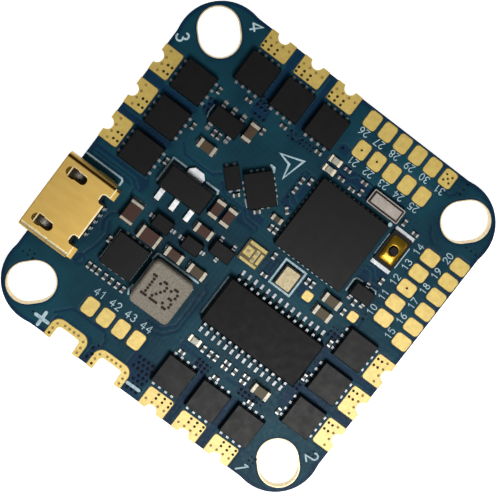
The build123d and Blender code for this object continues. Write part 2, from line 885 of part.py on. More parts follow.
with BuildPart() as signal_transistor_bodies:
    blocks(signal_transistors, 1.95, 1.25, seat + 0.08, seat + 0.95)
    chamfer(signal_transistor_bodies.faces().group_by(Axis.Z)[-1].edges(), 0.07)
write(signal_transistor_bodies, "signal_transistor_bodies")

with BuildPart() as diode_bodies:
    blocks(diodes, 1.7, 1.25, seat + 0.06, seat + 0.9)
    chamfer(diode_bodies.faces().group_by(Axis.Z)[-1].edges(), 0.08)
write(diode_bodies, "diode_bodies")

with BuildPart() as small_package_leads:
    five_lead = row_of_leads(logic_regulator_centre, 0, 0.8, 0.95, 3, (90,))
    five_lead += row_of_leads(logic_regulator_centre, 0, 0.8, 1.9, 2, (270,))
    bent_leads(five_lead, reach=0.62, width=0.4, shoulder=0.6, metal=0.15, face=seat)
    three_lead = []
    for x, y, turn in signal_transistors:
        three_lead += row_of_leads((x, y), turn, 0.625, 1.3, 2, (270,))
        three_lead += row_of_leads((x, y), turn, 0.625, 1.3, 1, (90,))
    bent_leads(three_lead, reach=0.43, width=0.32, shoulder=0.45, metal=0.13, face=seat)
    diode_ends = []
    for x, y, turn in diodes:
        diode_ends += row_of_leads((x, y), turn, 0.85, 1, 1, (0, 180))
    bent_leads(diode_ends, reach=0.45, width=0.35, shoulder=0.4, metal=0.13, face=seat)
write(small_package_leads, "small_package_leads")

# ---- ceramic capacitors and chip resistors: (x, y, angle) ---------------------------
# length, width, height and metal end of each case size
case_0805 = (1.95, 1.25, 0.9, 0.3)
case_0603 = (1.6, 0.84, 0.8, 0.28)
case_0402 = (1.0, 0.5, 0.5, 0.24)
case_0201 = (0.6, 0.3, 0.3, 0.15)

large_capacitors = [(-9.84, -3.16, 90), (-7.47, -3.95, 0)]
medium_capacitors = [
    (-4.36, 1.27, 90),
    (-3.17, 1.27, 90),
    (-4.13, -0.88, 0),
    (-5.98, 8.0, 90),
    (-8.13, 4.86, 0),
    (-4.88, -3.96, 0),
    (-2.52, -3.96, 0),
    (8.01, 0.88, 0),
    (8.01, -0.43, 0),
    (7.93, -8.88, 0),
]
small_capacitors = [(0.15, 3.6, 0)]

# The smallest parts of the upper face: those that stand along Y, then those along X.
upright = [
    (-10.1, 9.17),
    (-10.05, 5.55),
    (-10.1, 1.9),
    (8.9, 9.8),
    (4.4, 9.58),
    (-5.2, 8.65),
    (-0.12, 7.38),
    (-0.12, 6.42),
    (0.5, 7.75),
    (0.18, 2.73),
    (0.65, 2.73),
    (1.88, 1.0),
    (5.4, 0.97),
    (5.92, 0.97),
    (10.4, 4.72),
    (9.41, 0.72),
    (9.65, 1.9),
    (-8.35, 6.15),
    (-7.85, 6.15),
    (10.17, -2.1),
    (10.2, -5.7),
    (10.2, -9.33),
    (1.9, -8.87),
    (2.6, -8.87),
    (3.2, -8.87),
    (5.18, -8.87),
    (-9.95, -6.15),
    (-10.05, -8.9),
    (-9.57, -8.9),
    (-9.08, -8.9),
    (-8.4, -8.9),
    (-7.77, -8.9),
    (-7.15, -8.9),
    (-6.56, -8.9),
]
level = [
    (-7.7, 10.0),
    (-4.1, 10.02),
    (-0.48, 10.07),
    (2.4, 10.4),
    (2.4, 9.48),
    (4.15, 10.38),
    (3.62, 9.3),
    (10.2, 9.57),
    (2.15, -0.8),
    (0.6, -10.18),
    (4.23, -10.23),
    (7.87, -10.2),
    (4.25, -8.6),
    (4.25, -9.1),
    (6.25, -8.6),
    (6.25, -9.15),
]
small_resistors = [(x, y, 90) for x, y in upright]
small_resistors += [(x, y, 0) for x, y in level]
small_resistors += [(0.4, 4.65, 135), (-3.75, 3.14, 45), (-1.53, 3.07, 45)]

# Decoupling parts of the hidden drive electronics, four alike on each side.
drive_steps = (2.2, 5.7)
drive_offset = 9.2
drive_capacitors = []
drive_resistors = []
for side in motor_sides:
    turn = side_turn(side)
    for step in drive_steps:
        for shift in (-1.0, 0.0, 1.0):
            drive_capacitors.append((*along_side(side, step + shift, 11.4), turn + 90))
        for shift in (-0.8, 0.0, 0.8):
            drive_resistors.append((*along_side(side, step + shift, 7.0), turn + 90))

with BuildPart() as capacitor_ceramics:
    chip_middles(large_capacitors, *case_0805)
    chip_middles(medium_capacitors, *case_0603)
    chip_middles(small_capacitors, *case_0402)
    chip_middles(drive_capacitors, *case_0402, face=under, sign=-1)
write(capacitor_ceramics, "capacitor_ceramics")

with BuildPart() as capacitor_end_caps:
    end_caps(large_capacitors, *case_0805)
    end_caps(medium_capacitors, *case_0603)
    end_caps(small_capacitors, *case_0402)
    end_caps(drive_capacitors, *case_0402, face=under, sign=-1)
    chamfer(capacitor_end_caps.faces().group_by(Axis.Z)[-1].edges(), 0.04)
write(capacitor_end_caps, "capacitor_end_caps")

with BuildPart() as chip_resistor_bodies:
    chip_middles(small_resistors, *case_0201)
    chip_middles(drive_resistors, *case_0201, face=under, sign=-1)
write(chip_resistor_bodies, "chip_resistor_bodies")

with BuildPart() as chip_resistor_ends:
    end_caps(small_resistors, *case_0201)
    end_caps(drive_resistors, *case_0201, face=under, sign=-1)
write(chip_resistor_ends, "chip_resistor_ends")

with BuildPart() as status_light_ends:
    end_caps(status_lights, 1.1, 0.6, 0.2, 0.25)
write(status_light_ends, "status_light_ends")

# ---- underside: motor control chips, gate drivers, memory and air pressure sensor ---
control_side = 3.0
control_pitch = 0.5
driver_places = [along_side(side, drive_steps[0], drive_offset) for side in motor_sides]
control_places = [along_side(side, drive_steps[1], drive_offset) for side in motor_sides]
memory_centre = (0.0, 2.6)
memory_body = (4.0, 3.0)
pressure_centre = (0.0, -3.0)
pressure_body = (2.5, 2.0)

with BuildPart() as motor_control_chips:
    plate(control_places, control_side, control_side, under - 0.8, under - standoff)
    chamfer(motor_control_chips.faces().group_by(Axis.Z)[0].edges(), edge_break)
write(motor_control_chips, "motor_control_chips")

with BuildPart() as gate_driver_chips:
    plate(driver_places, control_side, control_side, under - 0.8, under - standoff)
    chamfer(gate_driver_chips.faces().group_by(Axis.Z)[0].edges(), edge_break)
write(gate_driver_chips, "gate_driver_chips")

with BuildPart() as memory_chip:
    plate([memory_centre], *memory_body, under - 0.75, under - standoff)
    chamfer(memory_chip.faces().sort_by(Axis.Z)[0].edges(), edge_break)
write(memory_chip, "memory_chip")

with BuildPart() as pressure_sensor:
    plate([pressure_centre], *pressure_body, under - 0.95, under - standoff)
    chamfer(pressure_sensor.faces().sort_by(Axis.Z)[0].edges(), edge_break)
    discs([(0.7, -3.5)], 0.12, under - 0.95, under - 0.8, Mode.SUBTRACT)
write(pressure_sensor, "pressure_sensor")

with BuildPart() as underside_chip_leads:
    ends = []
    for centre in control_places + driver_places:
        ends += row_of_leads(centre, 0, control_side / 2 - 0.15, control_pitch, 5, (0, 90, 180, 270))
    blocks(ends, 0.46, 0.24, under - standoff, under)
    memory_ends = row_of_leads(memory_centre, 0, memory_body[0] / 2 - 0.2, 0.65, 4, (0, 180))
    blocks(memory_ends, 0.5, 0.35, under - standoff, under)
    pressure_ends = row_of_leads(pressure_centre, 0, pressure_body[1] / 2 - 0.2, 0.6, 4, (90, 270))
    blocks(pressure_ends, 0.45, 0.3, under - standoff, under)
write(underside_chip_leads, "underside_chip_leads")
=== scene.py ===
import math
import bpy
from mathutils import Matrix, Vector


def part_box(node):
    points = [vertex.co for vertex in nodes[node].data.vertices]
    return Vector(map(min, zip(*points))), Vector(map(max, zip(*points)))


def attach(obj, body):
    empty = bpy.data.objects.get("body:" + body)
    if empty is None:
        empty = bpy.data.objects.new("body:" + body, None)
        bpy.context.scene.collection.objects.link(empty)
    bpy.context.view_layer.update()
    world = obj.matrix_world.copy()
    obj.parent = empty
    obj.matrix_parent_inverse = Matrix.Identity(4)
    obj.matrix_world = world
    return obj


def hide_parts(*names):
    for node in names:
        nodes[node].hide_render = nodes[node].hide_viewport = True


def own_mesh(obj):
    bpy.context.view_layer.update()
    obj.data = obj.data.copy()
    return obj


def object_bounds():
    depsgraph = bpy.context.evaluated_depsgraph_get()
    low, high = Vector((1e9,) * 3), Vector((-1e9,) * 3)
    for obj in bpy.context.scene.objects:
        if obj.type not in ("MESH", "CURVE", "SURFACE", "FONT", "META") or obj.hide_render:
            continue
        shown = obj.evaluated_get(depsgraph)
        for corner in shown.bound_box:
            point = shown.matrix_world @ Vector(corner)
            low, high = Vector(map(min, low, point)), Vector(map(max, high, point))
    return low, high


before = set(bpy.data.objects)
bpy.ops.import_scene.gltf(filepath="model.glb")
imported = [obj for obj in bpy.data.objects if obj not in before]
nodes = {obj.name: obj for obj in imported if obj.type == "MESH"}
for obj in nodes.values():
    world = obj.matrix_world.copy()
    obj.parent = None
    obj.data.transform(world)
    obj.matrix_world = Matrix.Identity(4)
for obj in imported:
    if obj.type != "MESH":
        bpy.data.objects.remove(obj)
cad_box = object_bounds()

from types import SimpleNamespace

import bmesh
import bpy
import numpy as np
from mathutils import Matrix, Vector

# A small flight controller board. Lengths here are millimetres in the part's own frame,
# and MM turns them into Blender's metres. Heights in a Shape are measured from a face of
# the board, outwards.
MM = 0.001


def extent(node):
    """Lowest and highest corner of a CAD node, in millimetres."""
    low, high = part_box(node)
    return low / MM, high / MM


board_top = extent("solder_mask_top")[1].z
board_low = extent("solder_mask_bottom")[0].z
half_side = 15.85
ear_centre = 12.0
ear_radius = 3.95
slot_centre = 13.0
edge_pads = tuple(f"motor_{n}_pads" for n in (1, 2, 3, 4))
edge_pads += ("battery_positive_pad", "battery_negative_pad")
face_pads = ("signal_pads", "led_strip_pads", "test_point_pads")
# Directions to the four corners, anticlockwise
quarters = ((1, 1), (-1, 1), (-1, -1), (1, -1))


# ---- places read from the frame ----
def loose_parts(node):
    """The separate solids of a CAD node, each as an upright box turned 0 or 45 degrees."""
    mesh = nodes[node].data
    spots = np.array([v.co for v in mesh.vertices]) / MM
    keys = {}
    same = [keys.setdefault(tuple(np.round(p, 4)), len(keys)) for p in spots]
    leader = list(range(len(keys)))

    def lead(i):
        while leader[i] != i:
            leader[i] = leader[leader[i]]
            i = leader[i]
        return i

    for face in mesh.polygons:
        first = lead(same[face.vertices[0]])
        for v in face.vertices[1:]:
            leader[lead(same[v])] = first
    groups = {}
    for i, point in enumerate(spots):
        groups.setdefault(lead(same[i]), []).append(point)
    return [upright_box(np.array(group)) for group in groups.values()]


def upright_box(points):
    """Centre, angle, length, width and heights of the smaller box around some points."""
    best = None
    for angle in (0, 45):
        c, s = math.cos(math.radians(angle)), math.sin(math.radians(angle))
        along = points[:, 0] * c + points[:, 1] * s
        across = points[:, 1] * c - points[:, 0] * s
        length, width = np.ptp(along), np.ptp(across)
        if best and length * width > 0.98 * best.length * best.width:
            continue
        u, v = (along.max() + along.min()) / 2, (across.max() + across.min()) / 2
        centre = Vector((u * c - v * s, u * s + v * c))
        best = SimpleNamespace(centre=centre, angle=angle, length=length, width=width)
    if best.width > best.length:
        best.length, best.width = best.width, best.length
        best.angle += 90
    best.low, best.high = points[:, 2].min(), points[:, 2].max()
    return best


def heading(angle):
    """Unit vector at an angle in degrees."""
    return Vector((math.cos(math.radians(angle)), math.sin(math.radians(angle))))


def nearest(part, bodies):
    """Vector to a part from the body that it belongs to."""
    body = min(bodies, key=lambda b: (b.centre - part.centre).length)
    return part.centre - body.centre


def is_above(part):
    return part.high > board_top


# ---- materials ----
def srgb(*channels):
    """Linear colour from the 0 to 255 values that a screen shows."""
    return tuple(((c / 255 + 0.055) / 1.055) ** 2.4 for c in channels)


def set_sockets(node, values):
    """Sets a shader node's sockets by name, with _ for each space."""
    for socket, value in values.items():
        node.inputs[socket.replace("_", " ")].default_value = value


finishes = {}


class Finish:
    """A procedural material on one Principled shader. Patterns are scaled per millimetre."""

    def __init__(self, name, roughness, metallic=0.0, **sockets):
        self.material = bpy.data.materials.new(name)
        self.material.use_nodes = True
        self.tree = self.material.node_tree
        self.shader = self.tree.nodes["Principled BSDF"]
        set_sockets(self.shader, {"Roughness": roughness, "Metallic": metallic, **sockets})
        finishes[name] = self

    def add(self, kind, **values):
        node = self.tree.nodes.new(kind)
        set_sockets(node, values)
        return node

    def link(self, output, socket):
        self.tree.links.new(output, socket)

    def place(self, stretch=(1, 1, 1)):
        """Object coordinates in millimetres, stretched along each axis."""
        coordinates = self.add("ShaderNodeTexCoord")
        mapping = self.add("ShaderNodeMapping", Scale=[s / MM for s in stretch])
        self.link(coordinates.outputs["Object"], mapping.inputs["Vector"])
        return mapping.outputs["Vector"]

    def noise(self, scale, detail=2.0, stretch=(1, 1, 1)):
        node = self.add("ShaderNodeTexNoise", Scale=scale, Detail=detail)
        self.link(self.place(stretch), node.inputs["Vector"])
        return node.outputs["Fac"]

    def bands(self, scale, axis, distortion=0.0):
        node = self.add("ShaderNodeTexWave", Scale=scale, Distortion=distortion)
        node.bands_direction = axis
        self.link(self.place(), node.inputs["Vector"])
        return node.outputs["Fac"]

    def both(self, first, second, how="MULTIPLY"):
        node = self.add("ShaderNodeMath")
        node.operation = how
        self.link(first, node.inputs[0])
        self.link(second, node.inputs[1])
        return node.outputs[0]

    def ramp(self, factor, *stops):
        """Colours over a pattern, as (position, sRGB colour) stops."""
        node = self.add("ShaderNodeValToRGB")
        points = node.color_ramp.elements
        while len(points) < len(stops):
            points.new(0.5)
        for point, (position, colour) in zip(points, stops):
            point.position = position
            point.color = (*srgb(*colour), 1)
        self.link(factor, node.inputs["Fac"])
        return node.outputs["Color"]

    def colours(self, factor, *stops):
        """Base colour from a pattern."""
        self.link(self.ramp(factor, *stops), self.shader.inputs["Base Color"])

    def paint_shade_band(self, axis, start, stop, shade):
        """Paints shade: multiplies the base colour by a dark colour in a soft band between two places on an
        axis.
        """
        split = self.add("ShaderNodeSeparateXYZ")
        self.link(self.place(), split.inputs[0])
        band = self.add("ShaderNodeMapRange", From_Min=start, From_Max=stop)
        self.link(split.outputs[axis], band.inputs["Value"])
        white = (255, 255, 255)
        stops = (0.0, white), (0.35, shade), (0.65, shade), (1.0, white)
        mix = self.add("ShaderNodeMix")
        mix.data_type = "RGBA"
        mix.blend_type = "MULTIPLY"
        mix.inputs[0].default_value = 1.0
        base = self.shader.inputs["Base Color"]
        self.link(base.links[0].from_socket, mix.inputs[6])
        self.link(self.ramp(band.outputs["Result"], *stops), mix.inputs[7])
        self.link(mix.outputs[2], base)

    def gloss(self, factor, low, high):
        """Roughness from a pattern."""
        node = self.add("ShaderNodeMapRange", From_Min=0.3, From_Max=0.7, To_Min=low, To_Max=high)
        self.link(factor, node.inputs["Value"])
        self.link(node.outputs["Result"], self.shader.inputs["Roughness"])

    def bump(self, factor, depth):
        """Surface height from a pattern, depth millimetres high."""
        node = self.add("ShaderNodeBump", Strength=1.0, Distance=depth * MM)
        self.link(factor, node.inputs["Height"])
        self.link(node.outputs["Normal"], self.shader.inputs["Normal"])


def mask_finish(name, dark, light):
    """Solder mask: thin glossy lacquer over a glass weave."""
    made = Finish(name, 0.34, Specular_IOR_Level=0.07)
    made.colours(made.noise(0.22, 3.0), (0.32, dark), (0.68, light))
    made.gloss(made.noise(3.0, 4.0), 0.34, 0.48)
    made.bump(made.both(made.bands(0.75, "X", 0.6), made.bands(0.75, "Y", 0.6), "ADD"), 0.0022)


def moulded(name, dark, light, depth=0.002, shine=0.145):
    """Black epoxy moulding with a satin skin, a fine grain and faint flow marks."""
    made = Finish(name, 0.4, Specular_IOR_Level=shine)
    flow = made.both(made.noise(0.55, 5.0), made.noise(11.0, 3.0), "ADD")
    made.colours(flow, (0.75, dark), (1.25, light))
    made.gloss(made.noise(1.4, 4.0), 0.38, 0.46)
    made.bump(made.noise(16.0, 4.0), depth)


def metal(name, dark, light, low, high, grain=4.0, depth=0.001, stretch=(1, 1, 1), **sockets):
    """Metal whose colour and polish change a little from place to place."""
    made = Finish(name, low, 1.0, **sockets)
    made.colours(made.noise(grain, 3.0, stretch), (0.3, dark), (0.7, light))
    made.gloss(made.noise(2.5 * grain, 3.0, stretch), low, high)
    made.bump(made.noise(6 * grain, 3.0, stretch), depth)
    return made


def speckled(name, roughness, pattern, dark, light, grain, depth=0.003, span=(0.3, 0.7), **sockets):
    """Two colours over a noise pattern, with a fine grain; both noises are (scale, detail)."""
    made = Finish(name, roughness, **sockets)
    made.colours(made.noise(*pattern), *zip(span, (dark, light)))
    made.bump(made.noise(*grain), depth)


def make_board_finishes():
    mask_finish("solder_mask_between_copper", (8, 37, 60), (12, 52, 80))
    mask_finish("solder_mask_over_copper", (9, 49, 65), (20, 71, 86))
    mask_finish("filled_via", (3, 10, 24), (6, 18, 36))
    laminate = Finish("glass_laminate", 0.62)
    layers = laminate.both(laminate.bands(2.4, "Z", 0.25), laminate.noise(6.0, 3.0))
    laminate.colours(layers, (0.1, (44, 46, 28)), (0.6, (112, 104, 62)))
    laminate.bump(laminate.noise(14.0), 0.004)
    ink = (150, 180, 192), (196, 220, 226), (18.0, 3.0), 0.002, (0.3, 0.62)
    speckled("printed_ink", 0.6, (3.5, 4.0), *ink, Specular_IOR_Level=0.2)
    speckled("via_plug", 0.6, (5.0,), (128, 102, 40), (166, 138, 64), (12.0,))
    # Dark floor of the open vias: painted shade of the deep hole
    speckled("open_via_painted_shade", 0.7, (5.0,), (36, 25, 8), (64, 47, 17), (12.0,), Specular_IOR_Level=0.2)
    speckled("plated_hole", 0.5, (5.0, 3.0), (208, 188, 142), (234, 218, 180), (16.0,), 0.002, metallic=0.6)


def make_metal_finishes():
    lacquer = {"Coat_Weight": 1.0, "Coat_IOR": 1.58, "Coat_Roughness": 0.4}
    metal("gold_plate", (195, 169, 81), (209, 183, 93), 0.56, 0.64, 2.2, **lacquer)
    grain = (0.5, 1.6, 1.6)
    shell = metal("gold_shell", (196, 162, 88), (205, 172, 96), 0.44, 0.52, 1.2, 0.0006, grain)
    edge = extent("usb_shell")[1].y
    # Painted dark reflection in a soft band along the rounded edge on the shell's high-y side
    shell.paint_shade_band("Y", edge - 0.46, edge - 0.12, (92, 62, 30))
    # Paler copy of the shell's gold: painted highlight on the rolled edges
    metal("gold_rim_painted_highlight", (236, 216, 164), (246, 232, 190), 0.36, 0.44, 2.0)
    metal("plated_end", (136, 138, 137), (164, 165, 163), 0.4, 0.5)
    metal("tinned_lead", (112, 114, 117), (142, 145, 148), 0.4, 0.52)
    metal("tinned_terminal", (150, 153, 156), (184, 187, 190), 0.4, 0.52)
    metal("bright_tab", (186, 188, 190), (218, 220, 222), 0.4, 0.52, 3.0)
    metal("bond_frame", (176, 160, 104), (200, 184, 124), 0.5, 0.6, 3.0)
    metal("solder", (136, 139, 142), (172, 175, 178), 0.32, 0.44, 3.0, 0.002)
    metal("fired_end", (152, 147, 134), (173, 167, 154), 0.48, 0.58, 3.0)
    metal("light_end", (204, 195, 170), (222, 214, 194), 0.48, 0.58, 3.0)
    metal("crystal_lid", (154, 143, 114), (170, 158, 132), 0.5, 0.6, 2.0)
    metal("resonator_lid", (150, 142, 135), (166, 158, 151), 0.5, 0.6, 2.0)
    # Steel darkened well below its own colour: painted shade of the latch fingers inside the socket's
    # windows; the button's dome shares it
    metal("spring_steel_painted_shade", (46, 44, 40), (66, 63, 58), 0.32, 0.42, 2.0)


def make_body_finishes():
    moulded("mould_compound", (9, 9, 10), (15, 15, 16))
    moulded("large_mould", (9, 9, 10), (14, 14, 15), 0.002, 0.075)
    moulded("small_package", (9, 9, 10), (17, 17, 18), 0.003, 0.12)
    moulded("black_plastic", (10, 10, 11), (17, 17, 18))
    inductor = Finish("inductor_composite", 0.66, Specular_IOR_Level=0.3)
    grains = inductor.both(inductor.noise(5.0, 3.0), inductor.noise(15.0, 3.0), "ADD")
    inductor.colours(grains, (0.7, (120, 112, 101)), (1.0, (134, 126, 114)), (1.3, (146, 138, 125)))
    inductor.bump(inductor.noise(13.0, 4.0), 0.01)
    ceramic = Finish("capacitor_ceramic", 0.45, Specular_IOR_Level=0.22)
    browns = (0.4, (66, 36, 26)), (0.48, (74, 56, 40)), (0.6, (80, 70, 46))
    ceramic.colours(ceramic.noise(0.14, 1.0), *browns)
    ceramic.bump(ceramic.noise(14.0, 3.0), 0.003)
    speckled("resistor_ceramic", 0.45, (0.9,), (14, 14, 16), (36, 31, 26), (16.0,), 0.003, (0.35, 0.65))
    base = (24, 22, 21), (40, 37, 34), (15.0,)
    speckled("package_ceramic", 0.6, (2.0, 3.0), *base, Specular_IOR_Level=0.3)
    mark = (40, 32, 28), (60, 48, 42), (16.0,), 0.004
    speckled("dark_mark", 0.7, (6.0, 3.0), *mark, Specular_IOR_Level=0.15)


def make_light_finishes():
    speckled("light_base", 0.5, (2.5, 3.0), (78, 62, 30), (112, 92, 50), (12.0,))
    resin_colour = (*srgb(150, 136, 92), 1)
    resin = Finish("clear_resin", 0.12, Base_Color=resin_colour, Alpha=0.16, Coat_Weight=0.5)
    resin.gloss(resin.noise(1.5), 0.1, 0.2)
    lens = (170, 160, 134), (206, 200, 180), (8.0,)
    speckled("light_lens", 0.4, (2.2, 3.0), *lens, Subsurface_Weight=0.2)
    film = (130, 98, 10), (156, 124, 20), (2.5, 3.0), 0.006
    coat = {"Coat_Weight": 0.15, "Coat_Roughness": 0.16}
    speckled("amber_film", 0.32, (0.8,), *film, metallic=0.8, **coat)


make_board_finishes()
make_metal_finishes()
make_body_finishes()
make_light_finishes()

# Finish of each CAD node, by how the node's name starts
node_finishes = {
    "glass_laminate": "circuit_board",
    "solder_mask_between_copper": "solder_mask",
    "plated_hole": "mounting_slot",
    "gold_plate": edge_pads + face_pads,
    "gold_shell": "usb_shell",
    "tinned_lead": ("usb_contacts", "sensor_pads"),
    "tinned_terminal": ("button_terminals", "inductor_terminals"),
    "black_plastic": ("usb_insulator", "button_base", "button_plunger"),
    "amber_film": "button_cover",
    "spring_steel_painted_shade": "button_dome",
    "capacitor_ceramic": "capacitor_ceramics",
    "fired_end": "capacitor_end",
    "resistor_ceramic": "chip_resistor_bodies",
    "plated_end": "chip_resistor_ends",
    "package_ceramic": ("crystal_base", "resonator_base"),
    "crystal_lid": ("crystal_lid", "pressure_sensor"),
    "resonator_lid": "resonator_lid",
    "inductor_composite": "inductor_core",
    "light_base": "rgb_light_base",
    "clear_resin": "rgb_light_lens",
    "light_lens": "status_light_lenses",
    "light_end": "status_light_ends",
    "small_package": ("signal_transistor", "diode", "logic", "motion_sensor", "sensor_regulator"),
    "large_mould": "overlay_chip",
}


def finish_for(node):
    if node.endswith("_leads"):
        return "bright_tab" if node.startswith("linear") else "tinned_lead"
    for finish, starts in node_finishes.items():
        if node.startswith(starts):
            return finish
    return "mould_compound"


for name, node in nodes.items():
    node.data.materials.clear()
    node.data.materials.append(finishes[finish_for(name)].material)


# ---- shapes ----
def add_object(name, data):
    made = bpy.data.objects.new(name, data)
    bpy.context.scene.collection.objects.link(made)
    return made


def arc(x, y, across, up, start, stop, steps=7):
    """Points along part of an ellipse, from one angle to another in degrees."""
    found = []
    for n in range(steps + 1):
        angle = math.radians(start + (stop - start) * n / steps)
        found.append((x + across * math.cos(angle), y + up * math.sin(angle)))
    return found


def circle(x, y, radius, sides=12):
    return arc(x, y, radius, radius, 0, 360 - 360 / sides, sides - 1)


def rounded(x, y, length, width, corner, angle=0.0, steps=3):
    """Outline of a rounded rectangle, anticlockwise."""
    found = []
    for n, (sx, sy) in enumerate(quarters):
        cx, cy = sx * (length / 2 - corner), sy * (width / 2 - corner)
        found += arc(cx, cy, corner, corner, 90 * n, 90 * n + 90, steps)
    out, side = heading(angle), heading(angle + 90)
    return [Vector((x, y)) + out * u + side * v for u, v in found]


class Shape:
    """A mesh in the making. Points are (x, y, height above the face), in millimetres."""

    def __init__(self):
        self.points, self.faces = [], []

    def solid(self, under, over, faces):
        """Closed solid between two matching sets of points, walled along the faces' open edges."""
        start, count = len(self.points), len(over)
        self.points += under + over
        edges = set()
        for face in faces:
            self.faces.append([start + count + i for i in face])
            self.faces.append([start + i for i in reversed(face)])
            edges.update(zip(face, face[1:] + face[:1]))
        for a, b in sorted(edges):
            if (b, a) not in edges:
                self.faces.append([start + a, start + b, start + count + b, start + count + a])

    def raise_faces(self, flat, faces, low, high):
        """Closed solid between two heights over flat faces."""
        self.solid([(x, y, low) for x, y in flat], [(x, y, high) for x, y in flat], faces)

    def prism(self, outline, low, high):
        """Closed solid over one convex outline."""
        self.raise_faces(outline, [list(range(len(outline)))], low, high)

    def sheet(self, rows, low):
        """Closed solid under a grid of points, down to one height."""
        over = [point for row in rows for point in row]
        width = len(rows[0])
        corners = [a for a in range(len(over) - width) if (a + 1) % width]
        faces = [[a, a + 1, a + width + 1, a + width] for a in corners]
        self.solid([(x, y, low) for x, y, _ in over], over, faces)

    def tube(self, loops):
        """Closed solid through loops of points, from the last one back to the first."""
        start, sides = len(self.points), len(loops[0])
        count = sides * len(loops)
        self.points += [point for loop in loops for point in loop]
        for a in range(count):
            b = a + 1 if (a + 1) % sides else a + 1 - sides
            face = (a, (a + sides) % count, (b + sides) % count, b)
            self.faces.append([start + i for i in face])

    def ring(self, outer, inner, low, high):
        """Solid between two outlines with the same number of points."""
        levels = ((outer, low), (outer, high), (inner, high), (inner, low))
        self.tube([[(*spot, level) for spot in outline] for outline, level in levels])

    def stroke(self, line, width, high, low=0.0, closed=False):
        """Ribbon along a line, with round ends."""
        line = [Vector(p) for p in line]
        half, count = width / 2, len(line)
        left, right = [], []
        for i, point in enumerate(line):
            after = line[(i + 1) % count] if closed or i + 1 < count else None
            before = line[i - 1] if closed or i else None
            into = (point - before if before else after - point).normalized()
            out = (after - point if after else into).normalized()
            side = (into + out).normalized().orthogonal()
            reach = half / max(side.dot(into.orthogonal()), 0.6)
            left.append(point + side * reach)
            right.append(point - side * reach)
        flat = left + right
        faces = []
        for i in range(count if closed else count - 1):
            j = (i + 1) % count
            faces.append([i, count + i, count + j, j])
        if not closed:
            for end, towards in ((0, line[0] - line[1]), (count - 1, line[-1] - line[-2])):
                way = math.degrees(math.atan2(towards.y, towards.x))
                cap = arc(*line[end], half, half, way - 90, way + 90, 6)[1:-1]
                first, last = (count + end, end) if end else (end, count + end)
                faces.append([first, *range(len(flat), len(flat) + len(cap)), last])
                flat += cap
        self.raise_faces(flat, faces, low, high)

    def dome(self, x, y, radius, height, sides=10, rings=2):
        """Round bead."""
        start = len(self.points)
        for ring in range(rings):
            share = 1 - ring / rings
            for spot in circle(x, y, radius * share, sides):
                self.points.append((*spot, height * (1 - share**2)))
        tip = len(self.points)
        self.points.append((x, y, height))
        for a in range(start, tip):
            b = a + 1 if (a + 1 - start) % sides else a + 1 - sides
            self.faces.append([a, b, b + sides, a + sides] if b + sides < tip else [a, b, tip])
        self.faces.append([start + n for n in range(sides - 1, -1, -1)])

    def piece(self, name, finish, slot, face=board_top, way=1, smooth=False):
        """Makes the mesh a piece on a face of the board: way is 1 above it and -1 below."""
        mesh = bpy.data.meshes.new(name)
        spots = [(x * MM, y * MM, (face + way * h) * MM) for x, y, h in self.points]
        mesh.from_pydata(spots, [], self.faces)
        work = bmesh.new()
        work.from_mesh(mesh)
        bmesh.ops.remove_doubles(work, verts=work.verts, dist=1e-8)
        bmesh.ops.dissolve_degenerate(work, edges=work.edges, dist=1e-9)
        bmesh.ops.recalc_face_normals(work, faces=work.faces)
        work.to_mesh(mesh)
        work.free()
        for polygon in mesh.polygons:
            polygon.use_smooth = smooth
        mesh.materials.append(finishes[finish].material)
        made = add_object(name, mesh)
        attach(made, "board")
        return made


# ---- numerals ----
# Each numeral is a list of lines that never cross themselves, on a cell 0.6 wide and 1 high.
numerals = {
    "0": [arc(0.3, 0.5, 0.27, 0.5, 0, 345, 14)],
    "1": [[(0.1, 0.78), (0.32, 1.0), (0.32, 0.0)]],
    "2": [arc(0.3, 0.72, 0.27, 0.28, 165, -35) + [(0.04, 0.0), (0.58, 0.0)]],
    "3": [arc(0.28, 0.76, 0.23, 0.24, 150, -80), arc(0.28, 0.27, 0.29, 0.27, 78, -150)],
    "4": [[(0.45, 0.0), (0.45, 1.0), (0.03, 0.32)], [(0.03, 0.3), (0.62, 0.3)]],
    "5": [[(0.54, 1.0), (0.1, 1.0), (0.07, 0.58)] + arc(0.3, 0.33, 0.27, 0.33, 110, -145)],
    "6": [[(0.48, 1.0), (0.18, 0.75), (0.04, 0.4)], arc(0.3, 0.29, 0.26, 0.29, 0, 345, 12)],
    "7": [[(0.02, 1.0), (0.58, 1.0), (0.2, 0.0)]],
    "8": [arc(0.3, 0.76, 0.21, 0.23, 0, 345, 12), arc(0.3, 0.27, 0.27, 0.27, 0, 345, 12)],
    "9": [[(0.12, 0.0), (0.42, 0.25), (0.56, 0.6)], arc(0.3, 0.71, 0.26, 0.29, 0, 345, 12)],
}


ink_high = 0.024


def write_number(ink, text, x, y, height, angle, width, pitch=0.82, mirror=1):
    """Number centred on a point, with its digits running at an angle."""
    out, up = heading(angle), heading(angle + 90)
    count = 0
    for n, digit in enumerate(text):
        shift = (n - (len(text) - 1) / 2) * pitch - 0.3
        for line in numerals[digit]:
            spots = [(out * (u + shift) + up * (v - 0.5)) * height for u, v in line]
            line = [(x + mirror * spot.x, y + spot.y) for spot in spots]
            ink.stroke(line, width, ink_high + 0.002 * count)
            count += 1


# ---- the board's faces: copper under the mask, filled vias, printed marks ----
grid_step = 0.1
grid_line = np.arange(-16.2, 16.25, grid_step)
grid_x, grid_y = np.meshgrid(grid_line, grid_line, indexing="ij")
copper_height = 0.014


def to_box(x, y, length, width, corner=0.0, angle=0.0):
    """Distance of each grid point from a rounded rectangle, negative inside it."""
    c, s = heading(angle)
    along = abs((grid_x - x) * c + (grid_y - y) * s) - length / 2 + corner
    across = abs((grid_y - y) * c - (grid_x - x) * s) - width / 2 + corner
    outside = np.hypot(np.maximum(along, 0), np.maximum(across, 0))
    return outside + np.minimum(np.maximum(along, across), 0) - corner


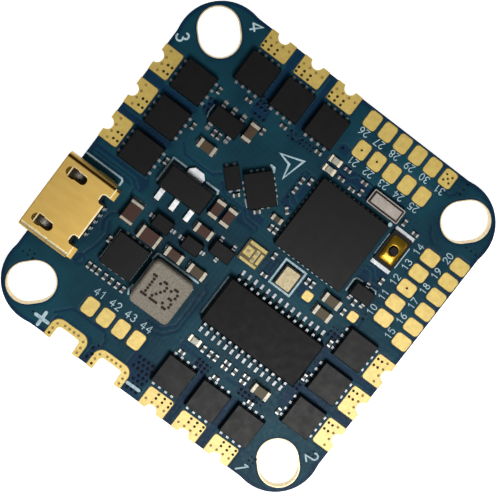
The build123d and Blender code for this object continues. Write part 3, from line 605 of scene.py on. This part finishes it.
def to_line(points):
    """Distance of each grid point from a line of straight runs."""
    runs = []
    for (ax, ay), (bx, by) in zip(points, points[1:]):
        dx, dy = bx - ax, by - ay
        share = ((grid_x - ax) * dx + (grid_y - ay) * dy) / (dx * dx + dy * dy)
        share = np.clip(share, 0, 1)
        runs.append(np.hypot(grid_x - ax - share * dx, grid_y - ay - share * dy))
    return np.minimum.reduce(runs)


def inside_board():
    """Distance of each grid point from the board's outline, positive inside it."""
    outline = to_box(0, 0, 2 * half_side, 2 * half_side, ear_radius)
    ears = [np.hypot(grid_x - sx * ear_centre, grid_y - sy * ear_centre) for sx, sy in quarters]
    return -np.minimum.reduce([outline] + [ear - ear_radius for ear in ears])


def around_slots(reach):
    """Distance of each grid point from the four mounting slots, grown by reach."""
    ends = (slot_centre - 0.25, slot_centre + 0.25)
    slots = [to_line([(sx * at, sy * at) for at in ends]) for sx, sy in quarters]
    return np.minimum.reduce(slots) - reach


def around_pads(names, gap):
    """Distances of each grid point from solder pads, each grown by a gap."""
    pads = [part for name in names for part in loose_parts(name)]
    return [to_box(*pad.centre, pad.length, pad.width, 0.3, pad.angle) - gap for pad in pads]


def raised_copper(name, field, face, way):
    """Mask that stands up over copper wherever a field is positive, as one clean sheet."""
    ramp = np.clip(field / 0.09, -1, 1)
    height = copper_height * np.sin(ramp * math.pi / 2)
    inside = height > 0
    relief, ids = Shape(), {}

    def point(place, x, y, rise):
        """Index of a point that neighbouring faces share."""
        if place not in ids:
            ids[place] = len(relief.points)
            relief.points.append((x, y, rise))
        return ids[place]

    cells = inside[:-1, :-1] | inside[1:, :-1] | inside[:-1, 1:] | inside[1:, 1:]
    for i, j in np.argwhere(cells):
        around = [(i, j), (i + 1, j), (i + 1, j + 1), (i, j + 1)]
        cell = []
        for here, there in zip(around, around[1:] + around[:1]):
            if inside[here]:
                x, y = grid_line[here[0]], grid_line[here[1]]
                cell.append(point(here, x, y, height[here]))
            if inside[here] != inside[there]:
                a, b = sorted((here, there))
                share = height[a] / (height[a] - height[b])
                x, y = (grid_line[p] + (grid_line[q] - grid_line[p]) * share for p, q in zip(a, b))
                cell.append(point((*a, *b), x, y, 0.0))
        relief.faces.append(cell)
    relief.piece(name, "solder_mask_over_copper", "solder_mask", face, way, smooth=True)


def transistor_gaps():
    """Bare strips between neighbouring motor transistors and pads, on all four sides."""
    places = [(way * along, -13.2 * way) for along in (3.05, 6.65) for way in (1, -1)]
    return [(x, y, 0.55, 5.4) for x, y in places] + [(y, x, 5.4, 0.55) for x, y in places]


# (x, y, length, width) of places with no copper pour on the upper face
bare_places = [
    (3.0, 9.95, 4.9, 1.5), (0.1, 6.6, 1.3, 3.4), (9.6, 4.75, 2.0, 1.9), (-12.9, -0.95, 5.6, 1.2),
    (-1.4, -14.1, 2.3, 3.4), (-5.35, -15.0, 0.8, 1.7), (1.3, -9.5, 2.4, 0.75), (2.6, -10.3, 1.3, 1.0),
    (7.2, -9.75, 2.0, 0.8), (10.0, -4.9, 1.1, 7.6), (-1.6, 2.2, 2.0, 1.5), (2.3, 0.0, 1.0, 2.1),
    (5.6, 0.3, 0.9, 1.4), (-6.35, 9.9, 1.5, 1.3), (-9.9, 7.7, 0.9, 1.5), (12.0, 7.75, 0.5, 0.9),
    (1.1, 11.6, 0.9, 0.8),
]

# Isolation channels that divide the pour on the upper face
channels = [
    [(-11.2, -9.2), (-10.6, -7.4), (-10.4, -6.0), (-10.9, -4.9)],
    [(-11.0, -5.9), (-11.35, -5.2), (-11.2, -4.4), (-10.6, -3.9)],
    [(-1.3, -4.4), (-0.75, -4.9), (-0.75, -8.9), (-1.6, -10.0), (-2.6, -10.4)],
    [(-1.1, -6.0), (-1.1, -8.7), (-2.1, -9.75), (-3.4, -9.75)],
    [(-10.0, -13.9), (-8.9, -12.75), (-5.6, -12.75), (-5.1, -13.3), (-5.1, -14.0)],
    [(-10.4, -0.3), (-10.9, -0.9), (-10.9, -1.9), (-10.4, -2.6)],
    [(-3.4, 10.2), (-3.0, 9.7), (-2.5, 9.7), (-2.2, 10.1)],
    [(-5.4, 3.3), (-4.6, 2.6), (-2.6, 2.6), (-2.0, 3.2)],
    [(10.9, 11.0), (11.2, 10.4), (11.9, 9.9)],
    [(9.2, 13.9), (10.6, 13.9), (11.0, 14.6)],
    [(-9.9, 4.0), (-9.2, 3.3), (-6.4, 3.3), (-5.7, 4.0)],
    [(10.4, -0.3), (11.2, 0.5), (11.2, 1.4)],
    [(-14.0, 0.4), (-11.0, 0.4), (-10.5, -0.1)],
    [(4.9, -9.7), (5.9, -9.7), (6.3, -9.3)],
]

# Traces that cross the bare places on the upper face
traces = [
    [(0.9, 10.9), (1.8, 10.0), (2.9, 10.0), (3.4, 10.5), (4.9, 10.5)],
    [(1.9, 9.35), (3.0, 9.35), (3.3, 9.65), (5.0, 9.65)],
    [(-0.3, 8.1), (-0.3, 5.9), (0.3, 5.3), (0.9, 5.3)],
    [(0.15, 8.2), (0.15, 6.2), (0.6, 5.8), (1.0, 5.8)],
    [(8.6, 5.3), (9.3, 5.3), (9.9, 4.7), (10.8, 4.7)],
    [(8.6, 4.9), (9.1, 4.9), (9.7, 4.2), (10.6, 4.2)],
    [(-15.4, -0.75), (-11.3, -0.75), (-10.6, -1.3)],
    [(-15.4, -1.1), (-11.6, -1.1), (-11.0, -1.5)],
    [(-2.5, 2.9), (-1.9, 2.3), (-0.7, 2.3), (-0.2, 1.8)],
    [(-2.5, 2.4), (-2.0, 1.9), (-0.9, 1.9), (-0.6, 1.5)],
    [(9.7, -1.2), (9.7, -3.9), (10.2, -4.4), (10.2, -5.0)],
    [(9.65, -8.6), (9.65, -6.5), (10.2, -6.2)],
    [(2.1, 0.9), (2.1, -0.3), (2.5, -0.9)],
    [(2.5, 0.9), (2.5, -0.2)],
    [(0.3, -9.45), (2.4, -9.45)],
]

# Rows and small groups of filled vias on the upper face: (x, y, columns, rows, pitch)
via_groups = [
    (-6.9, 10.15, 3, 3, 0.42), (-6.6, 9.45, 3, 1, 0.45), (-3.35, 9.65, 2, 2, 0.5),
    (-2.1, 9.75, 4, 2, 0.36), (-10.3, 7.35, 2, 3, 0.45), (-10.3, 1.05, 2, 3, 0.42),
    (0.95, 11.6, 1, 1, 0.4), (9.6, -1.6, 3, 3, 0.4), (9.5, -6.9, 3, 5, 0.42),
    (-1.95, -13.55, 4, 3, 0.45), (-1.3, -15.35, 3, 4, 0.45), (-5.55, -15.3, 1, 4, 0.45),
    (2.2, -10.6, 4, 3, 0.4), (6.6, -10.2, 3, 2, 0.42), (8.0, -9.9, 3, 3, 0.36),
    (10.85, -14.7, 2, 3, 0.4), (-15.1, -11.3, 3, 1, 0.5), (-14.7, -10.9, 2, 1, 0.5),
    (-9.9, -7.6, 1, 3, 0.5), (-11.4, -14.9, 1, 1, 0.4), (11.2, 14.5, 1, 3, 0.5),
    (14.4, 11.3, 3, 1, 0.5), (11.1, 1.2, 1, 2, 0.5), (-0.2, 5.6, 1, 3, 0.42), (14.6, -10.8, 2, 2, 0.45),
]


board_margin, slot_margin, pad_gap = 0.3, 1.95, 0.14


def make_upper_copper():
    fields = [inside_board() - board_margin, around_slots(slot_margin)]
    fields += around_pads(edge_pads + face_pads, pad_gap)
    fields += [to_box(*place, 0.25) for place in bare_places + transistor_gaps()]
    fields += [to_line(line) - 0.09 for line in channels]
    # A round island of copper with a bare ring around it
    fields.append(abs(np.hypot(grid_x + 11.0, grid_y + 9.0) - 0.42) - 0.08)
    lines = [0.1 - to_line(line) for line in traces]
    field = np.maximum.reduce([np.minimum.reduce(fields)] + lines)
    raised_copper("copper_relief_upper", field, board_top, 1)


def make_lower_copper():
    """Hidden face: a ground pour divided into four motor quarters and a middle."""
    fields = [inside_board() - board_margin, around_slots(slot_margin)]
    fields += around_pads(edge_pads, pad_gap)
    for sx, sy in quarters:
        wall = [(sx * 6.4, 0), (sx * 6.4, sy * 6.4), (0, sy * 6.4)]
        spoke = [(sx * 6.4, sy * 6.4), (sx * 10.6, sy * 10.6)]
        fields += [to_line(wall) - 0.1, to_line(spoke) - 0.1]
        for step in (0.5, 1.0, 1.5):
            bend = (sx * (3.6 + step), sy * (1.6 + step))
            away = to_line([(sx * (2.4 + step), sy * (0.4 + step)), bend, (bend[0], sy * 5.6)])
            fields.append(np.maximum(away - 0.2, 0.1 - away))
    raised_copper("copper_relief_lower", np.minimum.reduce(fields), board_low, -1)


def make_filled_vias():
    upper, lower = Shape(), Shape()
    for x, y, columns, rows, pitch in via_groups:
        for i in range(columns):
            for j in range(rows):
                stagger = 0.5 * (j % 2) if pitch == 0.45 else 0
                for face in (upper, lower):
                    face.dome(x + (i + stagger) * pitch, y + j * pitch, 0.15, copper_height + 0.012)
    upper.piece("filled_vias_upper", "filled_via", "solder_mask")
    lower.piece("filled_vias_lower", "filled_via", "solder_mask", board_low, -1)


make_upper_copper()
make_lower_copper()
make_filled_vias()

motor_numbers = (("4", -10.85, 15.2), ("3", -15.15, 10.85), ("2", 15.0, -10.85), ("1", 10.75, -15.15))


def make_number_marks():
    """Every solder pad has its own number, and every corner the number of its motor."""
    ink = Shape()
    pads = []
    for x, y in (part.centre for part in loose_parts("signal_pads")):
        in_row = y > 11.5 and x < 11
        pads.append((in_row, round(y if in_row else x, 1), x, y))
    for n, (in_row, _, x, y) in enumerate(sorted(pads)):
        place = (x, y - 1.18, 0.6, 180) if in_row else (x - 1.27, y, 0.6, 90)
        write_number(ink, str(10 + n), *place, 0.075)
    strip_pads = sorted(tuple(part.centre) for part in loose_parts("led_strip_pads"))
    for n, (x, y) in enumerate(strip_pads):
        write_number(ink, str(41 + n), x, y + 1.42, 0.66, 0, 0.085, 0.9)
    for text, x, y in motor_numbers:
        write_number(ink, text, x, y, 1.05, -45, 0.16)
    ink.piece("printed_numbers", "printed_ink", "solder_mask")


# Printed outlines on the upper face, closed and open: (line width, points)
printed_loops = [
    (0.2, [(-0.95, 8.78), (-2.9, 8.12), (-1.8, 7.85), (-1.5, 6.62)]),
    (0.17, [(2.86, -0.98), (4.95, -0.98), (4.95, 1.4), (2.86, 1.4)]),
]
printed_lines = [
    (0.16, [(-15.75, -1.5), (-12.15, -1.5), (-12.0, -1.65), (-12.0, -2.05)]),
    (0.17, [(-8.5, 2.5), (-9.78, 2.5), (-9.78, 0.2)]),
    (0.17, [(-6.35, 2.5), (-5.15, 2.5), (-5.05, 2.25)]),
    (0.17, [(-6.12, -5.3), (-6.05, -4.75), (-5.9, -4.68), (-1.85, -4.68)]),
    (0.15, [(-6.12, -8.1), (-6.15, -8.6), (-5.95, -8.95)]),
    (0.14, [(-0.1, -2.75), (-0.1, -6.5)]),
    (0.1, [(-6.52, -4.95), (-6.52, -7.9)]),
    (0.1, [(-9.68, -4.95), (-9.68, -7.9)]),
    (0.13, [(8.48, 2.35), (8.45, 3.45), (8.62, 3.72), (9.15, 3.75)]),
    (0.13, [(10.05, 3.75), (10.55, 3.75), (10.72, 3.5)]),
    (0.24, [(-2.92, 6.85), (-2.6, 6.83), (-2.45, 6.55)]),
    (0.13, [(-1.15, 5.15), (-0.58, 4.57)]),
    (0.13, [(-2.95, 3.3), (-2.42, 2.86)]),
    (0.12, [(-9.72, 8.0), (-9.75, 7.3), (-9.6, 6.85)]),
    (0.09, [(8.5, 8.3), (8.5, 6.3)]),
    (0.09, [(10.62, 8.3), (10.62, 6.3)]),
]


def make_line_marks():
    ink = Shape()
    for width, line in printed_loops:
        ink.stroke(line, width, ink_high, closed=True)
    for width, line in printed_lines:
        ink.stroke(line, width, ink_high)
    plus_x, plus_y, arm = -10.48, -14.95, 0.62
    ink.stroke([(plus_x - arm, plus_y), (plus_x + arm, plus_y)], 0.3, ink_high)
    ink.stroke([(plus_x, plus_y - arm), (plus_x, plus_y + arm)], 0.3, ink_high + 0.001)
    ink.stroke([(-1.5, -15.05), (-0.3, -15.05)], 0.28, ink_high)
    ink.prism(circle(8.05, 8.95, 0.19), 0.0, ink_high)
    ink.piece("printed_outlines", "printed_ink", "solder_mask")


def make_lower_marks():
    """Outlines and pin marks around the hidden chips, and a number for each motor."""
    ink = Shape()
    for name in ("motor_control_chips", "gate_driver_chips", "memory_chip", "pressure_sensor"):
        for part in loose_parts(name):
            x, y = part.centre
            u, v = part.length + 0.5, part.width + 0.5
            if part.angle:
                u, v = v, u
            for sx, sy in quarters:
                cx, cy = x + sx * u / 2, y + sy * v / 2
                line = [(cx - sx * 0.5, cy), (cx, cy), (cx, cy - sy * 0.5)]
                ink.stroke(line, 0.13, ink_high)
            ink.prism(circle(x - u / 2 - 0.3, y + v / 2 + 0.1, 0.13), 0.0, ink_high)
    for text, x, y in motor_numbers:
        write_number(ink, text, x, y, 1.0, 45, 0.16, mirror=-1)
    ink.piece("printed_marks_lower", "printed_ink", "solder_mask", board_low, -1)


make_number_marks()
make_line_marks()
make_lower_marks()


# ---- solder: lands and fillets ----
land_height = 0.02


def fillet(shape, foot, angle, width, reach, height):
    """Concave wedge of solder from a metal end down to its land."""
    out, side = heading(angle), heading(angle + 90)
    low = 0.75 * land_height
    rows = []
    for i in range(5):
        t = i / 4
        row = []
        for j in range(7):
            v = j / 3 - 1
            spread = width / 2 * (1 - 0.18 * t * t)
            spot = Vector(foot) + out * (reach * t) + side * (v * spread)
            fall = (1 - t) ** 2 * (1 - 0.55 * v**4) + 0.05 * (1 - t)
            row.append((*spot, low + 0.012 + height * fall))
        rows.append(row)
    shape.sheet(rows, low)


def joint(shape, part, outward, beyond, margin, reach, rise, cover=1.0):
    """Tinned land a little larger than a metal end, and a fillet up the end's outer side."""
    angle = math.degrees(math.atan2(outward.y, outward.x))
    along = part.length if abs(outward.dot(heading(part.angle))) > 0.7 else part.width
    across = part.width if along == part.length else part.length
    middle = part.centre + outward * beyond / 2
    corner = min(0.06, margin + 0.03)
    outline = rounded(*middle, along + beyond, across + 2 * margin, corner, angle)
    shape.prism(outline, 0.0, land_height)
    foot = part.centre + outward * (along / 2 - 0.01)
    fillet(shape, foot, angle, cover * across, reach, rise)


def chip_solder(shapes, ends, bodies, share, most):
    """Lands and fillets at both ends of every two-ended chip part; most limits their reach."""
    middles = loose_parts(bodies)
    for part in loose_parts(ends):
        outward = nearest(part, middles).normalized()
        rise = max(part.high - board_top, board_low - part.low)
        reach = min(0.36 * rise, most)
        joint(shapes[is_above(part)], part, outward, reach + 0.03, 0.02, reach, rise * share, 0.96)


def lead_solder(shapes, ends, bodies, beyond, reach, rise, margin=0.0):
    """Lands and toe fillets at leads that point away from their chip."""
    middles = [part for body in bodies for part in loose_parts(body)]
    for part in loose_parts(ends):
        if part.length > 2.2:  # the pad under a chip has no toe
            continue
        away = nearest(part, middles)
        outward = heading(part.angle)
        if outward.dot(away) < 0:
            outward = -outward
        joint(shapes[is_above(part)], part, outward, beyond, margin, reach, rise)


def make_solder():
    shapes = {True: Shape(), False: Shape()}
    chip_solder(shapes, "capacitor_end_caps", "capacitor_ceramics", 0.45, 0.14)
    chip_solder(shapes, "chip_resistor_ends", "chip_resistor_bodies", 0.4, 0.04)
    chip_solder(shapes, "status_light_ends", "status_light_lenses", 0.6, 0.07)
    drives = [f"motor_{n}_transistors" for n in (1, 2, 3, 4)]
    small = ["logic_regulator", "signal_transistor_bodies", "diode_bodies"]
    hidden = ["motor_control_chips", "gate_driver_chips", "memory_chip", "pressure_sensor"]
    lead_solder(shapes, "transistor_leads", drives, 0.04, 0.03, 0.05, -0.03)
    lead_solder(shapes, "small_package_leads", small, 0.12, 0.09, 0.07)
    lead_solder(shapes, "sensor_pads", ["motion_sensor", "sensor_regulator"], 0.06, 0.05, 0.04)
    lead_solder(shapes, "underside_chip_leads", hidden, 0.12, 0.1, 0.06)
    for chip, *sizes in (
        ("main_processor", 0.04, 0.03, 0.02, -0.04),
        ("overlay_chip", 0.08, 0.06, 0.04, -0.02),
        ("step_down_converter", 0.08, 0.06, 0.05),
        ("linear_regulator", 0.16, 0.12, 0.25, 0.04),
    ):
        lead_solder(shapes, f"{chip}_leads", [chip], *sizes)
    shapes[True].piece("solder_upper", "solder", "tinned_lead", smooth=True)
    shapes[False].piece("solder_lower", "solder", "tinned_lead", board_low, -1, smooth=True)


make_solder()


# ---- vias in the pads, at the same places as in the CAD ----
edge_vias = (-0.95, -0.32, 0.32, 0.95)
motor_steps = (1.5, 4.95, 8.4)
# (outward direction, direction along the edge, places of the inner vias along it)
motor_sides = (
    ((0, -1), (1, 0), (-0.23, 0.4, 1.05)),
    ((1, 0), (0, -1), (-0.8, -0.18)),
    ((-1, 0), (0, 1), (-0.73, -0.1)),
    ((0, 1), (-1, 0), (-0.1, 0.52, 1.1)),
)
battery_middles = (-7.86, -3.46)
battery_side, battery_rise = 1.445, -half_side + 1.55


def edge_pad_vias():
    """Places of the outer vias, which are plugged, and of the inner ones, which stay open."""
    plugged, opened = [], []
    for out, run, shifts in motor_sides:
        for step in motor_steps:
            places = [(shift, 0.65, plugged) for shift in edge_vias]
            places += [(shift, inset, opened) for inset in (1.13, 1.53) for shift in shifts]
            for shift, inset, found in places:
                along, outward = step + shift, half_side - inset
                x, y = run[0] * along + out[0] * outward, run[1] * along + out[1] * outward
                found.append((x, y))
    for middle in battery_middles:
        for way in (-1, 1):
            x = middle + way * battery_side
            places = [(x, -half_side + 0.3), (x, -half_side + 0.8)]
            opened += places[:1] if way < 0 else []
            plugged += places[1:] if way < 0 else places
            plugged.append((x - way * 0.12, battery_rise - 0.2))
        plugged += [(middle + shift, battery_rise) for shift in (-0.69, -0.23, 0.23, 0.69)]
    return plugged, opened


def face_pad_vias():
    """Small vias in a few of the signal pads."""
    row = [part.centre for part in loose_parts("signal_pads")]
    last = max((p for p in row if p.y > 14), key=lambda p: p.x)
    corners = ((0, 0), (0.28, 0.28), (-0.28, 0.28), (0.28, -0.28), (-0.28, -0.28))
    spots = [(last.x + u, last.y + v) for u, v in corners]
    spots += [p for p in row if 11.8 < p.y < 13 and p.x < 4.5]
    return spots + [p for p in row if 5 < p.y < 6 and p.x < 13]


def make_pad_vias():
    rims, open_holes, plugs = Shape(), Shape(), Shape()
    plugged, opened = edge_pad_vias()
    # Open vias get a dark floor that paints the shade of the deep hole; plugged ones get a plug
    for spots, fill, shape in ((plugged, -0.012, plugs), (opened, -0.025, open_holes)):
        for x, y in spots:
            rims.ring(circle(x, y, 0.15), circle(x, y, 0.125), -0.034, 0.003)
            shape.prism(circle(x, y, 0.125), -0.034, fill)
    for x, y in face_pad_vias():
        rims.ring(circle(x, y, 0.14), circle(x, y, 0.105), 0.0, 0.004)
        # Dark discs at the pad face paint the shade inside the small open holes
        open_holes.prism(circle(x, y, 0.105), 0.0, 0.002)
    rims.piece("via_rims", "gold_plate", "gold_plate")
    plugs.piece("via_plugs", "via_plug", "gold_plate")
    open_holes.piece("via_holes", "open_via_painted_shade", "black_plastic")


make_pad_vias()


# ---- details of single components ----
# Printed dots of each digit, row by row from the top
dotted_digits = {
    "1": (".##.", "..#.", "..#.", "..#.", "..#.", "..#.", ".###"),
    "2": (".##.", "#..#", "...#", "..#.", ".#..", "#...", "####"),
    "3": (".##.", "#..#", "...#", ".##.", "...#", "#..#", ".##."),
}
dot_radius, dot_pitch, digit_pitch = 0.14, (0.21, 0.3), 1.08


def make_inductor_mark():
    """Inspection number in round dots, on top of the inductor."""
    low, high = extent("inductor_core")
    x, y = (low.x + high.x) / 2 - 0.2, (low.y + high.y) / 2
    ink = Shape()
    for n, digit in enumerate("123"):
        for row, dots in enumerate(dotted_digits[digit]):
            for column, dot in enumerate(dots):
                if dot == "#":
                    u = (n - 1) * digit_pitch + (column - 1.5) * dot_pitch[0]
                    v = (3 - row) * dot_pitch[1]
                    rise = 0.004 + 0.001 * ((row + column) % 2)
                    ink.prism(circle(x + u, y + v, dot_radius, 9), 0.0, rise)
    ink.piece("inductor_number", "dark_mark", "inductor_composite", high.z)


def make_light_tracks():
    """Bond frame under the clear resin of the three-colour light."""
    low, high = extent("rgb_light_lens")
    x, y = (low.x + high.x) / 2, (low.y + high.y) / 2
    tracks, dies = Shape(), Shape()
    for u, v, length, width in (
        (-0.42, 0.0, 0.74, 0.8),
        (0.28, -0.05, 0.34, 1.16),
        (0.74, -0.05, 0.26, 1.0),
        (0.06, 0.78, 1.64, 0.28),
        (0.06, -0.82, 1.64, 0.22),
    ):
        tracks.prism(rounded(x + u, y + v, length, width, 0.05), 0.0, 0.03)
    for u, v in ((-0.42, 0.0), (0.28, 0.2), (0.28, -0.35)):
        dies.prism(rounded(x + u, y + v, 0.22, 0.22, 0.02), 0.03, 0.12)
        dies.prism(circle(x + u, y + v, 0.02, 4), 0.12, 0.14)
    tracks.piece("light_frame", "bond_frame", "gold_plate", low.z)
    dies.piece("light_dies", "light_lens", "light_base", low.z)


def make_resonator_rim():
    """Plated seal ring around the resonator's lid."""
    low, high = extent("resonator_base")
    x, y = (low.x + high.x) / 2, (low.y + high.y) / 2
    length, width = high.x - low.x, high.y - low.y
    rim = Shape()
    outer = rounded(x, y, length, width, 0.12)
    inner = rounded(x, y, length - 0.16, width - 0.16, 0.06)
    rim.ring(outer, inner, 0.0, 0.02)
    rim.piece("resonator_rim", "resonator_lid", "lid_metal", high.z)


def make_button_film():
    """Crowned cover film with a round opening for the plunger."""
    low, high = extent("button_cover")
    x, y = (low.x + high.x) / 2, (low.y + high.y) / 2
    half_x, half_y = (high.x - low.x) / 2, (high.y - low.y) / 2
    plunger_low, plunger_high = extent("button_plunger")
    hole = min((plunger_high.x - plunger_low.x) / 2, 0.37) + 0.04
    edge_height, crown, squareness = 0.55 * (high.z - low.z), 0.16, 7
    shares = [n / 7 for n in range(8)]
    levels = [(t, edge_height + crown * (1 - t**2.2)) for t in shares]
    levels += [(t, 0.0) for t in reversed(shares)]
    loops = []
    for t, height in levels:
        loop = []
        for c, s in circle(0, 0, 1, 48):
            grow = (abs(c) ** squareness + abs(s) ** squareness) ** (-1 / squareness)
            u = hole * c * (1 - t) + half_x * c * grow * t
            v = hole * s * (1 - t) + half_y * s * grow * t
            loop.append((x + u, y + v, height))
        loops.append(loop)
    film = Shape()
    film.tube(loops)
    made = film.piece("button_film", "amber_film", "amber_film", low.z, smooth=True)
    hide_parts("button_cover")


def make_snap_dome():
    """Snap dome of the button, a copy of the CAD dome on a mesh of its own."""
    dome = add_object("snap_dome", nodes["button_dome"].data.copy())
    dome.matrix_world = nodes["button_dome"].matrix_world
    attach(dome, "board")
    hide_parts("button_dome")
    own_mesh(dome)


# Places of the socket's two windows and two rear notches, from its middle line
window_offset, notch_offset = 2.35, 2.05


def make_usb_springs():
    """Sprung latch fingers below the two windows of the socket's roof, coloured dark to paint the shade
    inside the windows.
    """
    low, high = extent("usb_shell")
    middle = (low.y + high.y) / 2
    springs = Shape()
    for way, sink in ((-1, 0.0), (1, 0.3)):
        y = middle + way * window_offset
        rows = []
        for i in range(9):
            t = i / 8
            x = low.x + 0.86 + 1.5 * t
            drop = -0.2 - sink - 0.45 * math.sin(math.pi * min(t * 0.62, 1))
            rows.append([(x, y + v, drop - 0.03 * abs(v)) for v in (-0.25, -0.13, 0.13, 0.25)])
        springs.sheet(rows, -0.72 - sink)
    springs.piece("usb_latch_springs", "spring_steel_painted_shade", "gold_shell", high.z)


def make_usb_rims():
    """Rolled edges of the shell's roof, of its rear notches and of its windows, in a paler gold than the
    shell that paints their highlights.
    """
    low, high = extent("usb_shell")
    middle = (low.y + high.y) / 2
    rear = extent("usb_insulator")[1].x - 0.12
    rims = Shape()
    # Straight edges across the shell: (x, middle, half length, width, height of their underside)
    edges = [(rear - 0.07, middle, 1.6, 0.14, -0.002)]
    for way in (-1, 1):
        notch = middle + way * notch_offset
        bend = [(rear - 0.04, notch + 0.475)]
        bend += arc(rear - 0.35, notch + 0.175, 0.3, 0.3, 90, 180, 5)
        bend += [(rear - 0.65, notch - 0.15)]
        rims.stroke(bend, 0.1, 0.009, -0.001)
        wing = middle + way * ((high.y - low.y) / 2 - 0.7)
        window = middle + way * window_offset
        edges += [(rear + 0.06, wing, 0.42, 0.11, -0.003), (low.x + 0.92, window, 0.4, 0.08, -0.082)]
        # Painted highlights on the high-y rim of each window only
        rims.stroke([(low.x + 0.95, window + 0.5), (low.x + 1.4, window + 0.51)], 0.07, 0.006, -0.002)
        rims.stroke([(low.x + 1.5, window + 0.44), (low.x + 2.3, window + 0.43)], 0.07, 0.006, -0.002)
    for x, y, reach, width, under in edges:
        rims.stroke([(x, y - reach), (x, y + reach)], width, under + 0.01, under)
    # Painted highlight along the long rounded edge on the low-y side only
    rows = []
    for x in (low.x + 0.15, (low.x + rear) / 2, rear - 0.05):
        row = []
        for inset in (0.22, 0.3, 0.38, 0.48):
            fall = 0.45 - math.sqrt(0.45**2 - max(0.45 - inset, 0) ** 2)
            row.append((x, low.y + inset, 0.006 - fall))
        rows.append(row)
    rims.sheet(rows, -0.09)
    rims.piece("usb_rims", "gold_rim_painted_highlight", "gold_shell", high.z)


make_inductor_mark()
make_light_tracks()
make_resonator_rim()
make_button_film()
make_snap_dome()
make_usb_springs()
make_usb_rims()

# ---- floor, light and camera ----
floor_mesh = bpy.data.meshes.new("floor")
floor_reach = 0.8  # in metres, like cad_box
floor_height = cad_box[0][2] - 0.00002
corners = [(-sx * floor_reach, -sy * floor_reach, floor_height) for sx, sy in quarters]
floor_mesh.from_pydata(corners, [], [(0, 1, 2, 3)])
white = {"Base_Color": (*srgb(250, 250, 250), 1), "Emission_Color": (1, 1, 1, 1)}
paper = Finish("pale_paper", 0.9, **white, Emission_Strength=0.85)
floor_mesh.materials.append(paper.material)
add_object("floor", floor_mesh)

view_target = Vector((-0.2, 0.36, board_top))
view_distance = 117.3
view_tilt = 7.4  # degrees from straight down
view_side = 144.8  # where the camera leans to, as an angle around +Z
picture_up = 127.3  # the picture's upward direction, as an angle around +Z
view_lens = 100.8


def aim(thing, place, target, up):
    """Puts a lamp or camera at a place, looking at a target with a given upward direction."""
    back = (place - target).normalized()
    right = up.cross(back).normalized()
    turned = Matrix((right, back.cross(right), back)).transposed().to_4x4()
    thing.matrix_world = Matrix.Translation(place * MM) @ turned


def towards(azimuth, elevation, distance):
    """Point at a distance from the view's target."""
    flat = heading(azimuth) * math.cos(math.radians(elevation))
    return view_target + Vector((*flat, math.sin(math.radians(elevation)))) * distance


def softbox(name, azimuth, elevation, distance, size, power, colour):
    data = bpy.data.lights.new(name, "AREA")
    data.shape = "RECTANGLE"
    data.size, data.size_y = size[0] * MM, size[1] * MM
    data.energy, data.color = power, colour
    place = towards(azimuth, elevation, distance)
    aim(add_object(name, data), place, view_target, Vector((0, 0, 1)))


camera_data = bpy.data.cameras.new("camera")
camera_data.sensor_width = 36
camera_data.lens = view_lens
camera_data.clip_start = 0.005
camera_data.clip_end = 10
camera = add_object("camera", camera_data)
camera_place = towards(view_side, 90 - view_tilt, view_distance)
aim(camera, camera_place, view_target, Vector((*heading(picture_up), 0)))
bpy.context.scene.camera = camera

softbox("key_light", 318, 65, 110, (34, 34), 0.086, (1.0, 0.99, 0.97))
for name, turn, power in (("left", 100, 0.035), ("right", -100, 0.035), ("back", 0, 0.025)):
    softbox(f"{name}_fill", picture_up + turn, 28, 200, (120, 80), power, (0.97, 0.98, 1.0))

world = bpy.data.worlds.new("studio")
world.use_nodes = True
sky = world.node_tree.nodes["Background"]
sky.inputs["Color"].default_value = (0.95, 0.97, 1.0, 1)
sky.inputs["Strength"].default_value = 0.14
bpy.context.scene.world = world
bpy.context.scene.view_settings.view_transform = "Standard"
